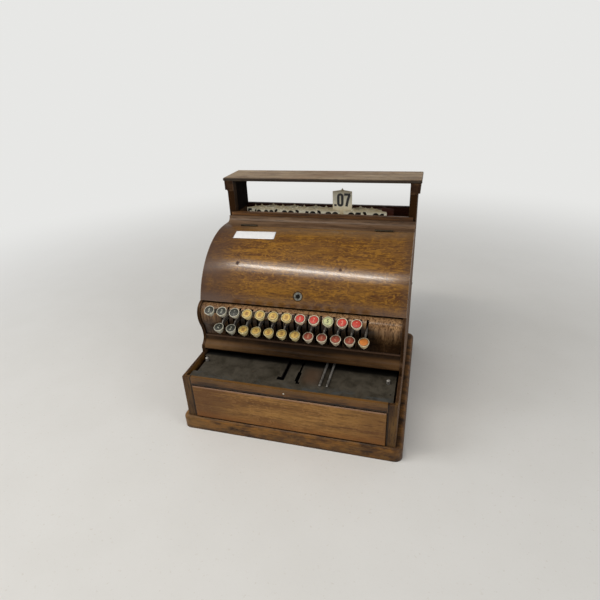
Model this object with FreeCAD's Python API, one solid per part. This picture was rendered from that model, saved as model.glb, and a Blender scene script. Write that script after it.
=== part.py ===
import FreeCAD, Part
import math
import os

V = FreeCAD.Vector

# Wooden keyed cash register. Millimetres, +Z up, +X to the right as the clerk
# faces it, -Y towards the clerk. The origin is the centre of the base's underside.

# ---- driving dimensions -------------------------------------------------

# moulded base
base_height = 29.0
base_corner_radius = 15.0
base_moulding_radius = 8.0
front_reveal = 6.6          # base showing in front of the case
rear_reveal = 14.0
side_reveal = 13.5

# case boards
left_margin = 38.5          # inside of the left side to the first lever
right_margin = 53.4         # last lever to the inside of the right side
side_thickness = 15.0
rabbet_lip = 5.5            # wood left outside the boards let into the sides
end_clearance = 0.2         # at each end of a board in its rabbet
back_thickness = 8.0

# lower case with its drawer opening
counter_height = 124.0
stile_width = 17.5
stile_thickness = 15.0
rail_height = 17.5
rail_depth = 14.4
front_lip = 6.6             # wood left in front of the deck
dust_board_thickness = 9.0
dust_board_drop = 10.0      # from the counter rail's underside down to the board's underside
tray_depth = 103.2          # front of the case to the foot of the key front

# deck of the tray
tray_lip = 4.0              # deck below the counter
deck_sheet = 1.5
deck_edge_gap = 4.0
deck_notch_depth = 9.5
deck_notch_start = 21.4
deck_notch_length = 53.5
deck_slot_offset = 13.7
deck_slot_width = 4.6
deck_slot_foot = 11.0
deck_hook_depth = 7.0       # from front to back
deck_slot_reach = 28.7      # from the deck's front edge to the slot's foot
deck_bay_overlap = 1.1      # bay beyond its slot, on the narrow side
deck_bay_width = 8.0
deck_bay_length = 31.0
deck_bay_hook = 7.0
stud_radius = 3.4
stud_height = 9.0
stud_bevel = 1.2
stud_offset = 184.0
stud_setback = 57.6
rod_radius = 2.1
first_rod_offset = 61.3
rod_spacing = 13.8
rod_reach = 24.2

# key front: rail with a bead, cove and roll, and the slotted fascia above
deck_headroom = 12.6        # deck to the underside of the lower rail
lower_rail_height = 27.4
bead_depth = 3.0
roll_projection = 13.5
roll_height = 7.4
roll_rise = 1.9             # how far the roll's upper arris lies behind its nose
bulge_height = 208.7
bulge_projection = 11.8
fascia_recess = 3.5
fascia_back = 19.5          # flat back of the fascia, behind the foot of the key front
rail_recess = 0.8
slot_width = 4.6
slot_foot_margin = 3.0      # above the bead
slot_top_margin = 6.8       # below the lid's lower edge

# lid
lid_radius = 159.0
lid_thickness = 9.0
lid_centre_height = 188.0
lid_setback = 162.2         # foot of the key front back to the lid's centre
lid_sweep = 72.9            # degrees of arc from the hinge to the lower edge
lid_gap = 0.3
hinge_offset = 146.8
hinge_length = 37.6
hinge_leaf = 1.0
hinge_knuckles = 3
hinge_leaf_height = 7.5
knuckle_radius = 2.2
knuckle_rise = 1.4          # hinge axis above the lid's crown
pin_radius = 1.0
pin_clearance = 0.06
hinge_joint_gap = 0.6       # between the lid's rear edge and the moulding

# lid lock
lock_angle = 64.5           # degrees of arc from the hinge
lock_barrel_radius = 6.4
lock_bore_clearance = 0.1
lock_flange_radius = 8.0
lock_flange_height = 1.2
lock_recess_radius = 10.5
lock_recess_depth = 1.6
lock_length = 12.0
plug_radius = 4.4
plug_clearance = 0.08
keyway_width = 1.6
keyway_height = 6.6
keyway_depth = 7.0
keyway_tilt = 18.0          # degrees
cam_length = 28.0
cam_width = 7.0
cam_thickness = 2.0

# crown: moulding, sill, posts, capitals and top board
cove_depth = 36.0           # hinge line back to the face of the sill
crown_depth = 100.0         # face of the sill to the back of the case
cove_radius = 12.0
cove_land = 2.0
sill_thickness = 8.0
sill_proud = 3.0            # sill standing before the posts
sill_rise = 20.5            # sill top above the lid's crown
sill_drop = 17.0            # sill foot below the lid's crown
window_height = 68.5
rear_cove_radius = 19.0
rear_rail_depth = 27.0
rear_rail_drop = 17.0
rear_rail_lap = 7.0
rear_rise = 2.4             # rear rail above the sill
top_thickness = 7.0
top_side_overhang = 6.9
top_front_overhang = 2.5
top_rear_overhang = 9.0
top_edge_radius = 1.5
capital_height = 19.5
capital_side = 4.7
capital_front = 2.0
capital_cove = 3.0

# drawer
drawer_gap = 1.0
drawer_proud = 2.6
drawer_front_thickness = 16.0
drawer_front_round = 3.0
runner_height = 4.0
runner_width = 14.0
runner_clearance = 0.3
drawer_side_gap = 3.0
drawer_wall = 9.0
drawer_headroom = 5.2          # drawer walls clear of the dust board
drawer_bottom_thickness = 5.0
drawer_bottom_groove = 4.0
drawer_length = 330.0
divider_thickness = 5.0
divider_height = 40.0
coin_row_depth = 105.0
coin_cups = 5
note_bays = 4

# keys
key_count = 24
lever_pitch = 12.7
lever_thickness = 2.4
lever_depth = 8.5
lever_hub_radius = 10.0
lever_hub_length = 44.0
lever_knee_reach = 28.0     # in front of the foot of the key front
lever_knee_drop = 8.0
slot_end_clearance = 1.5
key_neck = 1.5
shaft_radius = 4.0
shaft_clearance = 0.08
shaft_height = 200.0
shaft_setback = 51.2        # behind the foot of the key front
key_radius = 9.4
key_foot_radius = 4.6
key_body_height = 12.0
key_sink = 4.0              # lever let into the foot of its key
upper_key_tilt = 30.0       # degrees, towards the clerk
lower_key_tilt = 22.0
upper_key_height = 250.4
upper_key_reach = 55.0      # in front of the foot of the key front
lower_key_height = 213.0
lower_key_reach = 51.4
tail_fall = 8.0             # degrees below level, from the shaft back
tail_overrun = 5.0

# tablets
tablet_layers = 4
first_tablet_setback = 19.0 # behind the sill
tablet_layer_pitch = 8.0
tablet_width = 42.5
tablet_shift = 2.0          # plate's middle to the left of its rod
tablet_thickness = 1.2
tablet_shoulder_height = 369.3
tablet_plate_height = 57.0
tablet_crest = 2.5          # rise of the top edge from the shoulders to the spire
spire_height = 5.2
spire_half_width = 4.2
spire_sag = 0.8             # hollow of the spire's sides
rod_width = 6.0
rod_thickness = 1.6
rod_foot_gap = 0.5
key_press = 13.5            # degrees
raised_key = 17
latch_settle = 2.0          # the raised tablet sinks back this far on to its latch
moving_tablets = (7, 13, 22)
lower_guide_height = 236.0
upper_guide_height = 292.0
guide_thickness = 2.0
guide_margin = 8.0
guide_slot_clearance = 0.3

# brackets
bracket_thickness = 6.0
bracket_wall_gap = 3.0
bracket_foot = 14.0
bracket_foot_height = 4.0
bracket_half_length = 22.0
bracket_boss_radius = 11.0
guide_post_top = 6.0        # above the upper guide
rest_bar_depth = 10.0
rest_bar_height = 8.0
rest_bar_clearance = 0.4
rest_bar_setback = 24.0     # in front of the first layer of tablets

# ---- places that follow from them ---------------------------------------

key_row = (key_count - 1) * lever_pitch
case_width = left_margin + key_row + right_margin + 2 * side_thickness
case_depth = tray_depth + lid_setback + cove_depth + crown_depth
base_width = case_width + 2 * side_reveal
base_depth = front_reveal + case_depth + rear_reveal

deck_height = counter_height - tray_lip
rail_foot_height = deck_height + deck_headroom
bead_height = rail_foot_height + lower_rail_height
rod_offsets = (first_rod_offset, first_rod_offset + rod_spacing)
guide_heights = (lower_guide_height, upper_guide_height)

case_front = front_reveal - base_depth / 2
case_back = base_depth / 2 - rear_reveal
outer = case_width / 2
inner = outer - side_thickness
rabbet = outer - rabbet_lip
board_end = rabbet - end_clearance
first_lever = left_margin - inner

panel_front = case_front + stile_thickness
rail_bottom = counter_height - rail_height
dust_top = rail_bottom - dust_board_drop + dust_board_thickness
stile_inner = outer - stile_width
foot_y = case_front + tray_depth
back_inside = case_back - back_thickness

lid_y = foot_y + lid_setback
lid_z = lid_centre_height
lid_crown = lid_z + lid_radius
lid_inner_radius = lid_radius - lid_thickness
seat_radius = lid_inner_radius - lid_gap
hinge_z = lid_crown + knuckle_rise
sill_front = lid_y + cove_depth
sill_back = sill_front + sill_thickness
sill_top = lid_crown + sill_rise
sill_foot = lid_crown - sill_drop
shoulder = lid_z + lid_inner_radius
post_front = sill_front + sill_proud
post_back = case_back - rear_cove_radius
post_top = sill_top + window_height
rear_top = sill_top + rear_rise
rear_cove_foot = rear_top - rear_cove_radius
back_top = rear_cove_foot - rear_rail_lap

shaft_y = foot_y + shaft_setback
fascia_back_y = foot_y + fascia_back
lid_edge_height = lid_z + lid_radius * math.cos(math.radians(lid_sweep))
slot_foot = bead_height + slot_foot_margin
slot_top = lid_edge_height - slot_top_margin
bracket_outer = inner - bracket_wall_gap
bracket_inner = bracket_outer - bracket_thickness
plate_half = rabbet - deck_edge_gap
deck_front = case_front + front_lip + end_clearance
flange_front = panel_front + end_clearance
rabbet_floor = deck_height - deck_sheet
runner_top = base_height + runner_height
drawer_floor = runner_top + runner_clearance
drawer_wall_height = dust_top - dust_board_thickness - drawer_headroom - drawer_floor
drawer_half = inner - drawer_side_gap
drawer_front_back = case_front - drawer_proud + drawer_front_thickness
drawer_back_y = drawer_front_back + drawer_length


# ---- drawing helpers ----------------------------------------------------

def on_circle(centre, radius, degrees):
    """Point of a circle in the YZ plane, its angle counted from +Y towards +Z."""
    turn = math.radians(degrees)
    return (centre[0] + radius * math.cos(turn), centre[1] + radius * math.sin(turn))


def angle_of(centre, spot):
    return math.degrees(math.atan2(spot[1] - centre[1], spot[0] - centre[0]))


def arc(centre, start, end):
    """Arc step from start to end about centre, the short way round."""
    first = angle_of(centre, start)
    turn = (angle_of(centre, end) - first + 180.0) % 360.0 - 180.0
    radius = math.dist(centre, start)
    return ("arc", on_circle(centre, radius, first + turn / 2), end)


def line(end):
    return ("line", None, end)


def board(x_from, x_to, start, steps):
    """Board with a closed outline in the YZ plane, running from x_from to x_to."""
    edges = []
    here = V(x_from, *start)
    for kind, middle, end in steps + [line(start)]:
        there = V(x_from, *end)
        if here.distanceToPoint(there) < 1e-6:
            continue
        if kind == "arc":
            edges.append(Part.Arc(here, V(x_from, *middle), there).toShape())
        else:
            edges.append(Part.makeLine(here, there))
        here = there
    return Part.Face(Part.Wire(edges)).extrude(V(x_to - x_from, 0, 0))


def block(x_from, x_to, y_from, y_to, z_from, z_to):
    corner = V(x_from, y_from, z_from)
    return Part.makeBox(x_to - x_from, y_to - y_from, z_to - z_from, corner)


def polygon(spots):
    """Line steps through all spots but the first."""
    return [line(spot) for spot in spots[1:]]


def strip(x_from, x_to, centre_line, width):
    """Flat bar of even width that follows an open line of spots in the YZ plane."""
    left, right = [], []
    last = len(centre_line) - 1
    for i, (y, z) in enumerate(centre_line):
        before = centre_line[max(i - 1, 0)]
        after = centre_line[min(i + 1, last)]
        a = math.atan2(z - before[1], y - before[0]) if i else None
        b = math.atan2(after[1] - z, after[0] - y) if i < last else None
        a = b if a is None else a
        b = a if b is None else b
        half = width / 2 / math.cos((b - a) / 2)
        side = (a + b) / 2 + math.pi / 2
        left.append((y + half * math.cos(side), z + half * math.sin(side)))
        right.append((y - half * math.cos(side), z - half * math.sin(side)))
    spots = left + right[::-1]
    return board(x_from, x_to, spots[0], polygon(spots))


def mirrored(shape):
    return shape.mirror(V(0, 0, 0), V(1, 0, 0))


def both_sides(shape):
    return Part.makeCompound([mirrored(shape), shape])


def cut_all(shape, tools):
    return shape.cut(Part.makeCompound(tools)) if tools else shape


# ---- curve of the key front ---------------------------------------------

lid_lower_angle = 90.0 + lid_sweep


def lid_edge_spot(radius):
    """Spot just under the lid's lower edge, lid_gap below it."""
    y, z = on_circle((lid_y, lid_z), radius, lid_lower_angle)
    turn = math.radians(lid_lower_angle)
    return (y - lid_gap * math.sin(turn), z + lid_gap * math.cos(turn))


def front_steps(recess):
    """S-curve of the key front from its foot at the bead up to its crown.

    Three tangent arcs: a hollow above the foot, the back of the bulge and the
    shoulder under the lid. The recess sets the whole curve back by that much.
    """
    bulge_y = foot_y - bulge_projection
    rise = (bulge_height - bead_height) / 2
    half = bulge_projection / 2
    sweep = (rise * rise + half * half) / (2 * half)
    top = lid_edge_spot(lid_radius - lid_gap)
    run = top[0] - bulge_y
    crown = (run * run + (top[1] - bulge_height) ** 2) / (2 * run)
    hollow_centre = (foot_y - sweep, bead_height)
    bulge_centre = (bulge_y + sweep, bulge_height)
    crown_centre = (bulge_y + crown, bulge_height)
    foot = (foot_y + recess, bead_height)
    bend = on_circle(bulge_centre, sweep - recess, angle_of(bulge_centre, hollow_centre))
    nose = (bulge_y + recess, bulge_height)
    end = on_circle(crown_centre, crown - recess, angle_of(crown_centre, top))
    steps = [arc(hollow_centre, foot, bend), arc(bulge_centre, bend, nose)]
    return foot, steps + [arc(crown_centre, nose, end)]


def reversed_steps(start, steps):
    """The same outline walked backwards: its new start and steps."""
    spots = [start] + [step[2] for step in steps]
    back = []
    for i in range(len(steps) - 1, -1, -1):
        back.append((steps[i][0], steps[i][1], spots[i]))
    return spots[-1], back


def rail_steps(recess):
    """Bead, cove and roll of the lower rail, from the bead's top down to its foot."""
    face = foot_y + recess
    nose = face - roll_projection
    arris = (nose + roll_rise, rail_foot_height + roll_height)
    cove_top = (face, bead_height - bead_depth)
    run = cove_top[0] - arris[0]
    fall = cove_top[1] - arris[1]
    cove = (run * run + fall * fall) / (2 * run)
    roll = (roll_rise ** 2 + roll_height ** 2) / (2 * roll_rise)
    steps = [line(cove_top), arc((face - cove, cove_top[1]), cove_top, arris)]
    steps.append(arc((nose + roll, rail_foot_height), arris, (nose, rail_foot_height)))
    return (face, bead_height), steps


# ---- case ---------------------------------------------------------------

def make_base():
    """Base board with rounded corners and a rounded upper edge."""
    shape = block(-base_width / 2, base_width / 2, -base_depth / 2, base_depth / 2, 0, base_height)
    upright = [e for e in shape.Edges if abs(e.Vertexes[0].Z - e.Vertexes[-1].Z) > 1]
    shape = shape.makeFillet(base_corner_radius, upright)
    rim = [e for e in shape.Edges if all(abs(v.Z - base_height) < 1e-6 for v in e.Vertexes)]
    return shape.makeFillet(base_moulding_radius, rim)


def make_side_panel():
    """Right side: tray wall, key front, lid seat and window post in one board."""
    front = front_steps(0.0)[1]
    rail_up_start, rail_up = reversed_steps(*rail_steps(0.0))
    seat_start = lid_edge_spot(seat_radius)
    seat_top = (lid_y, lid_z + seat_radius)
    rear_cove_centre = (case_back, rear_top)
    start = (panel_front, base_height)
    steps = [line((panel_front, counter_height)), line((rail_up_start[0], counter_height))]
    steps += [line(rail_up_start)] + rail_up + front
    steps += [line(seat_start), arc((lid_y, lid_z), seat_start, seat_top)]
    steps += [line((lid_y, shoulder)), line((post_front, shoulder))]
    steps += [line((post_front, post_top)), line((post_back, post_top))]
    steps += [line((post_back, rear_top))]
    steps += [arc(rear_cove_centre, (post_back, rear_top), (case_back, rear_cove_foot))]
    steps += [line((case_back, base_height))]
    panel = board(inner, outer, start, steps)

    cuts = [block(inner, rabbet, panel_front, shaft_y, dust_top, rail_foot_height)]
    cuts.append(block(inner, rabbet, case_front, fascia_back_y, rail_foot_height, lid_crown))
    cuts.append(block(inner, rabbet, sill_front, sill_back, sill_foot, sill_top))
    cuts.append(block(inner, rabbet, back_inside, case_back, base_height, back_top))
    return cut_all(panel, cuts)


def make_back_panel():
    return block(-board_end, board_end, back_inside, case_back, base_height, back_top)


def make_rear_rail():
    """Sill behind the window, coved out to the back of the case."""
    front = case_back - rear_rail_depth
    start = (front, back_top - rear_rail_drop)
    steps = [line((front, rear_top)), line((post_back, rear_top))]
    steps += [arc((case_back, rear_top), (post_back, rear_top), (case_back, rear_cove_foot))]
    steps += [line((case_back, back_top)), line((back_inside, back_top))]
    steps += [line((back_inside, back_top - rear_rail_drop))]
    return board(-inner, inner, start, steps)


def make_front_stiles():
    stile = block(stile_inner, outer, case_front, panel_front, base_height, counter_height)
    return both_sides(stile.cut(block(stile_inner, rabbet, case_front + front_lip, panel_front,
                                      rabbet_floor, counter_height)))


def make_drawer_rail():
    rail = block(-stile_inner, stile_inner, case_front, case_front + rail_depth,
                 rail_bottom, counter_height)
    return rail.cut(block(-stile_inner, stile_inner, case_front + front_lip, case_front + rail_depth,
                          rabbet_floor, counter_height))


def make_drawer_runners():
    return both_sides(block(inner - runner_width, inner, panel_front, back_inside,
                            base_height, runner_top))


def make_dust_board():
    return block(-inner, inner, panel_front, back_inside,
                 dust_top - dust_board_thickness, dust_top)


def make_top_board():
    shape = block(-outer - top_side_overhang, outer + top_side_overhang,
                  post_front - top_front_overhang, post_back + top_rear_overhang,
                  post_top, post_top + top_thickness)
    level = [e for e in shape.Edges if abs(e.Vertexes[0].Z - e.Vertexes[-1].Z) < 1e-6]
    return shape.makeChamfer(top_edge_radius, level)


def make_post_capitals():
    """Collars round the post heads, coved underneath."""
    low = post_top - capital_height
    foot = low - capital_cove
    collar = block(inner, outer + capital_side, post_front - capital_front,
                   post_back + capital_front, low, post_top)
    cove_block = block(inner, outer + capital_cove, post_front - capital_front / 2,
                       post_back + capital_front / 2, foot, low)
    groove = Part.makeCylinder(capital_cove, post_back - post_front + 4 * capital_front,
                               V(outer + capital_cove, post_front - 2 * capital_front, foot),
                               V(0, 1, 0))
    post = block(inner, outer, post_front, post_back, foot, post_top)
    return both_sides(collar.fuse(cove_block).cut(groove).cut(post).removeSplitter())


def make_lower_rail():
    top, steps = rail_steps(rail_recess)
    steps += [line((fascia_back_y, rail_foot_height)), line((fascia_back_y, bead_height))]
    return board(-board_end, board_end, top, steps)


def lever_x(index):
    return first_lever + lever_pitch * index


def make_key_fascia():
    """Curved front board with one upright slot for each lever."""
    foot, face = front_steps(fascia_recess)
    crown = face[-1][2]
    back = [line((fascia_back_y, crown[1])), line((fascia_back_y, foot[1]))]
    shape = board(-board_end, board_end, foot, face + back)
    slots = []
    for index in range(key_count):
        x = lever_x(index)
        slots.append(block(x - slot_width / 2, x + slot_width / 2, case_front, shaft_y,
                           slot_foot, slot_top))
    return cut_all(shape, slots)


def make_cove_moulding():
    """Full-width moulding behind the lid, which carries the hinges."""
    front = lid_y + hinge_joint_gap / 2
    cove_end = sill_front - cove_land
    arc_centre = (cove_end - cove_radius, lid_crown + cove_radius)
    start = (front, shoulder)
    steps = [line((front, lid_crown)), line((arc_centre[0], lid_crown))]
    steps += [arc(arc_centre, (arc_centre[0], lid_crown), (cove_end, arc_centre[1]))]
    steps += [line((sill_front, arc_centre[1])), line((sill_front, shoulder))]
    shape = board(-outer, outer, start, steps)
    cuts = []
    for side in (-1, 1):
        cuts.append(hinge_block(side, front, front + hinge_leaf - hinge_joint_gap / 2))
        cuts.append(knuckle_room(side))
    return cut_all(shape, cuts)


def make_indicator_sill():
    return block(-board_end, board_end, sill_front, sill_back, sill_foot, sill_top)


# ---- deck ---------------------------------------------------------------

def make_deck_plate():
    """Pressed sheet let into the case, with flanges under it, notched and slotted."""
    back = shaft_y - bracket_half_length - end_clearance
    flange_half = plate_half - deck_notch_depth
    sheet = block(-plate_half, plate_half, deck_front, back, rabbet_floor, deck_height)
    for y in (flange_front, back - deck_sheet):
        sheet = sheet.fuse(block(-flange_half, flange_half, y, y + deck_sheet, dust_top, deck_height))
    notch_front = deck_front + deck_notch_start
    cuts = [block(-plate_half, -flange_half, notch_front, notch_front + deck_notch_length,
                  rabbet_floor, deck_height)]
    slot_front = deck_front + deck_slot_reach
    half = deck_slot_width / 2
    for side in (-1, 1):
        x = side * deck_slot_offset
        cuts.append(block(x - half, x + half, slot_front, foot_y, rabbet_floor, deck_height))
    hook_tip = -deck_slot_offset - deck_slot_foot
    cuts.append(block(hook_tip, -deck_slot_offset, slot_front, slot_front + deck_hook_depth,
                      rabbet_floor, deck_height))
    bay = deck_slot_offset - half - deck_bay_overlap
    bay_end = bay + deck_bay_width
    cuts.append(block(bay, bay_end, slot_front, slot_front + deck_bay_length,
                      rabbet_floor, deck_height))
    cuts.append(block(deck_slot_offset, deck_slot_offset + deck_bay_width,
                      slot_front - deck_bay_hook, slot_front, rabbet_floor, deck_height))
    return cut_all(sheet.removeSplitter(), cuts)


def make_deck_studs():
    """Two turned studs with bevelled heads, standing on the deck."""
    y = deck_front + stud_setback
    body = Part.makeCylinder(stud_radius, stud_height - stud_bevel, V(stud_offset, y, deck_height))
    head = Part.makeCone(stud_radius, stud_radius - stud_bevel, stud_bevel,
                         V(stud_offset, y, deck_height + stud_height - stud_bevel))
    return both_sides(body.fuse(head))


def make_deck_rods():
    """Two return rods that lie on the deck, turned down through it at the front."""
    rods = []
    z = deck_height + rod_radius
    front = deck_front + rod_reach
    back = foot_y + roll_projection
    foot = dust_top + deck_sheet
    for x in rod_offsets:
        level = Part.makeCylinder(rod_radius, back - front, V(x, front, z), V(0, 1, 0))
        drop = Part.makeCylinder(rod_radius, z - foot, V(x, front, foot))
        elbow = Part.makeSphere(rod_radius, V(x, front, z))
        rods.append(level.fuse([drop, elbow]).removeSplitter())
    return Part.makeCompound(rods)


def rod_holes():
    front = deck_front + rod_reach
    reach = rod_radius + end_clearance
    return [block(x - reach, x + reach, front - reach, front + reach,
                  dust_top, deck_height) for x in rod_offsets]


# ---- lid, hinges and lock -----------------------------------------------

def hinge_block(side, y_from, y_to):
    x = side * hinge_offset
    half = hinge_length / 2
    return block(x - half, x + half, y_from, y_to, lid_crown - hinge_leaf_height, hinge_z)


def knuckle_room(side):
    """Hollow cut for a hinge's knuckles, round the hinge axis."""
    x = side * hinge_offset - hinge_length / 2 - end_clearance
    return Part.makeCylinder(knuckle_radius + lid_gap, hinge_length + 2 * end_clearance,
                             V(x, lid_y, hinge_z), V(1, 0, 0))


def make_hinge_leaves(y_from, y_to, spans, with_pin):
    """Leaves of both hinges, with the knuckles that cover the given shares of the length."""
    leaves = []
    for side in (-1, 1):
        x = side * hinge_offset - hinge_length / 2
        leaf = hinge_block(side, y_from, y_to)
        room = Part.makeCylinder(knuckle_radius + lid_gap, hinge_length, V(x, lid_y, hinge_z),
                                 V(1, 0, 0))
        leaf = leaf.cut(room)
        for first, last in spans:
            length = (last - first) * hinge_length
            start = V(x + first * hinge_length, lid_y, hinge_z)
            knuckle = Part.makeCylinder(knuckle_radius, length, start, V(1, 0, 0))
            web = block(start.x, start.x + length, y_from, y_to,
                        lid_crown - hinge_leaf_height, hinge_z)
            knuckle = knuckle.fuse(web)
            bore = Part.makeCylinder(pin_radius + pin_clearance, length, start, V(1, 0, 0))
            leaf = leaf.fuse(knuckle.cut(bore) if not with_pin else knuckle)
        if with_pin:
            leaf = leaf.fuse(Part.makeCylinder(pin_radius, hinge_length, V(x, lid_y, hinge_z),
                                               V(1, 0, 0)))
        leaves.append(leaf.removeSplitter())
    return Part.makeCompound(leaves)


def make_hinge_fixed_leaves():
    end = 1 / hinge_knuckles - end_clearance / hinge_length
    front = lid_y + hinge_joint_gap / 4
    return make_hinge_leaves(front, lid_y + hinge_leaf, [(0, end), (1 - end, 1)], True)


def make_hinge_lid_leaves():
    front = lid_y - hinge_leaf
    middle = [(1 / hinge_knuckles, 1 - 1 / hinge_knuckles)]
    return make_hinge_leaves(front, lid_y - hinge_joint_gap / 4, middle, False)


def lock_frame():
    """Middle of the lock on the lid's outer face, and its outward direction."""
    degrees = 90.0 + lock_angle
    y, z = on_circle((lid_y, lid_z), lid_radius, degrees)
    turn = math.radians(degrees)
    return V(0, y, z), V(0, math.cos(turn), math.sin(turn))


def lock_cylinder(radius, low, high):
    """Cylinder on the lock's axis between two distances outwards from the lid's face."""
    spot, out = lock_frame()
    return Part.makeCylinder(radius, high - low, spot + out * low, out)


def make_lid():
    """Bent lid across the whole case, bored for its lock and let in for the hinges."""
    rear = lid_y - hinge_joint_gap / 2
    outer_top = (rear, lid_z + math.sqrt(lid_radius ** 2 - (hinge_joint_gap / 2) ** 2))
    inner_top = (rear, lid_z + math.sqrt(lid_inner_radius ** 2 - (hinge_joint_gap / 2) ** 2))
    centre = (lid_y, lid_z)
    outer_low = on_circle(centre, lid_radius, lid_lower_angle)
    inner_low = on_circle(centre, lid_inner_radius, lid_lower_angle)
    steps = [arc(centre, outer_top, outer_low), line(inner_low), arc(centre, inner_low, inner_top)]
    shape = board(-outer, outer, outer_top, steps)
    cuts = [lock_cylinder(lock_barrel_radius + lock_bore_clearance, -lock_length, lock_flange_height)]
    cuts.append(lock_cylinder(lock_recess_radius, -lock_recess_depth, lock_flange_height))
    for side in (-1, 1):
        cuts.append(hinge_block(side, lid_y - hinge_leaf, rear))
        cuts.append(knuckle_room(side))
    return cut_all(shape, cuts)


def make_lid_lock():
    low = -lock_recess_depth
    flange = lock_cylinder(lock_flange_radius, low, low + lock_flange_height)
    barrel = lock_cylinder(lock_barrel_radius, -lock_length, low)
    bore = lock_cylinder(plug_radius + plug_clearance, -lock_length, low + lock_flange_height)
    return flange.fuse(barrel).cut(bore).removeSplitter()


def make_lock_plug():
    """Plug with its keyway and, at its inner end, the cam, which lies along the lid."""
    spot, out = lock_frame()
    front = lock_flange_height - lock_recess_depth
    low = -lock_length - lid_gap
    plug = lock_cylinder(plug_radius, low, front)
    down = V(1, 0, 0).cross(out)
    turn = FreeCAD.Rotation(V(1, 0, 0), down, out, "ZXY")
    key_hole = Part.makeBox(keyway_width, keyway_height, keyway_depth,
                            V(-keyway_width / 2, -keyway_height / 2, front - keyway_depth))
    key_hole.rotate(V(0, 0, 0), V(0, 0, 1), keyway_tilt)
    cam = Part.makeBox(cam_length, cam_width, cam_thickness,
                       V(-plug_radius, -cam_width / 2, low - cam_thickness))
    for piece in (key_hole, cam):
        piece.Placement = FreeCAD.Placement(spot, turn).multiply(piece.Placement)
    return plug.cut(key_hole).fuse(cam).removeSplitter()


# ---- drawer -------------------------------------------------------------

def make_drawer_front():
    half = stile_inner - drawer_gap
    face = case_front - drawer_proud
    shape = block(-half, half, face, drawer_front_back, base_height + drawer_gap,
                  rail_bottom - drawer_gap)
    rim = [e for e in shape.Edges if all(abs(v.Y - face) < 1e-6 for v in e.Vertexes)]
    return shape.makeFillet(drawer_front_round, rim)


def make_drawer_walls():
    """Two sides and the back, grooved for the bottom."""
    top = drawer_floor + drawer_wall_height
    side = block(drawer_half - drawer_wall, drawer_half, drawer_front_back, drawer_back_y,
                 drawer_floor, top)
    groove_floor = drawer_floor + drawer_bottom_groove
    groove = block(-drawer_half + drawer_wall / 2, drawer_half - drawer_wall / 2,
                   drawer_front_back, drawer_back_y - drawer_wall / 2,
                   groove_floor, groove_floor + drawer_bottom_thickness)
    back = block(-drawer_half + drawer_wall, drawer_half - drawer_wall,
                 drawer_back_y - drawer_wall, drawer_back_y, drawer_floor, top)
    side = side.cut(groove)
    return Part.makeCompound([mirrored(side), side, back.cut(groove)])


def make_drawer_bottom():
    floor = drawer_floor + drawer_bottom_groove
    return block(-drawer_half + drawer_wall / 2, drawer_half - drawer_wall / 2,
                 drawer_front_back, drawer_back_y - drawer_wall / 2,
                 floor, floor + drawer_bottom_thickness)


def make_till_dividers():
    """Boards that part the drawer into coin cups in front and note bays behind."""
    floor = drawer_floor + drawer_bottom_groove + drawer_bottom_thickness
    top = floor + divider_height
    half = drawer_half - drawer_wall
    cross_back = drawer_front_back + coin_row_depth
    cross_front = cross_back - divider_thickness
    boards = [block(-half, half, cross_front, cross_back, floor, top)]
    for count, y_from, y_to in ((coin_cups, drawer_front_back, cross_front),
                                (note_bays, cross_back, drawer_back_y - drawer_wall)):
        width = 2 * half / count
        for i in range(1, count):
            x = i * width - half
            boards.append(block(x - divider_thickness / 2, x + divider_thickness / 2,
                                y_from, y_to, floor, top))
    return Part.makeCompound(boards)


# ---- keys ---------------------------------------------------------------

def is_upper(index):
    return index % 2 == 0


def key_face(index):
    """Middle of the key's face."""
    if is_upper(index):
        return (foot_y - upper_key_reach, upper_key_height)
    return (foot_y - lower_key_reach, lower_key_height)


def key_tilt(index):
    return upper_key_tilt if is_upper(index) else lower_key_tilt


def layer_y(index):
    """Tablets stand in four layers, so that wide plates clear their neighbours."""
    order = (1, 2, 0, 3)[index % tablet_layers]
    return sill_back + first_tablet_setback + order * tablet_layer_pitch


def tail_height(y):
    """Middle line of the tails, which all lie on one slope."""
    return shaft_height - math.tan(math.radians(tail_fall)) * (y - shaft_y)


def make_lever(index):
    """Flat lever: arm through the fascia up to its key, boss on the shaft, long tail."""
    tilt = math.radians(key_tilt(index))
    away = (-math.sin(tilt), math.cos(tilt))
    along = (math.cos(tilt), math.sin(tilt))
    face = key_face(index)
    drop = key_body_height - key_sink + lever_depth / 2
    seat = (face[0] - drop * away[0], face[1] - drop * away[1])
    reach = key_foot_radius + key_neck
    tip = (seat[0] - key_foot_radius * along[0], seat[1] - key_foot_radius * along[1])
    neck = (seat[0] + reach * along[0], seat[1] + reach * along[1])
    if is_upper(index):
        knee = (foot_y - lever_knee_reach, neck[1] - lever_knee_drop)
        pass_height = slot_top - slot_end_clearance - lever_depth / 2
    else:
        knee = (foot_y - lever_knee_reach, neck[1] + lever_knee_drop)
        pass_height = knee[1]
    through = (foot_y, pass_height)
    inside = (shaft_y - lever_hub_length / 2, (pass_height + shaft_height) / 2)
    end = layer_y(index) + tail_overrun
    line_of_arm = [tip, neck, knee, through, inside, (shaft_y, shaft_height),
                   (end, tail_height(end))]
    x = lever_x(index) - lever_thickness / 2
    arm = strip(x, x + lever_thickness, line_of_arm, lever_depth)
    centre = V(x, shaft_y, shaft_height)
    half = lever_hub_length / 2
    spots = [(shaft_y - half, shaft_height), (shaft_y, shaft_height + lever_hub_radius),
             (shaft_y + half, shaft_height), (shaft_y, shaft_height - lever_hub_radius)]
    hub = board(x, x + lever_thickness, spots[0], polygon(spots))
    bore = Part.makeCylinder(shaft_radius + shaft_clearance, lever_thickness, centre, V(1, 0, 0))
    return arm.fuse(hub).cut(bore).removeSplitter()


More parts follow.
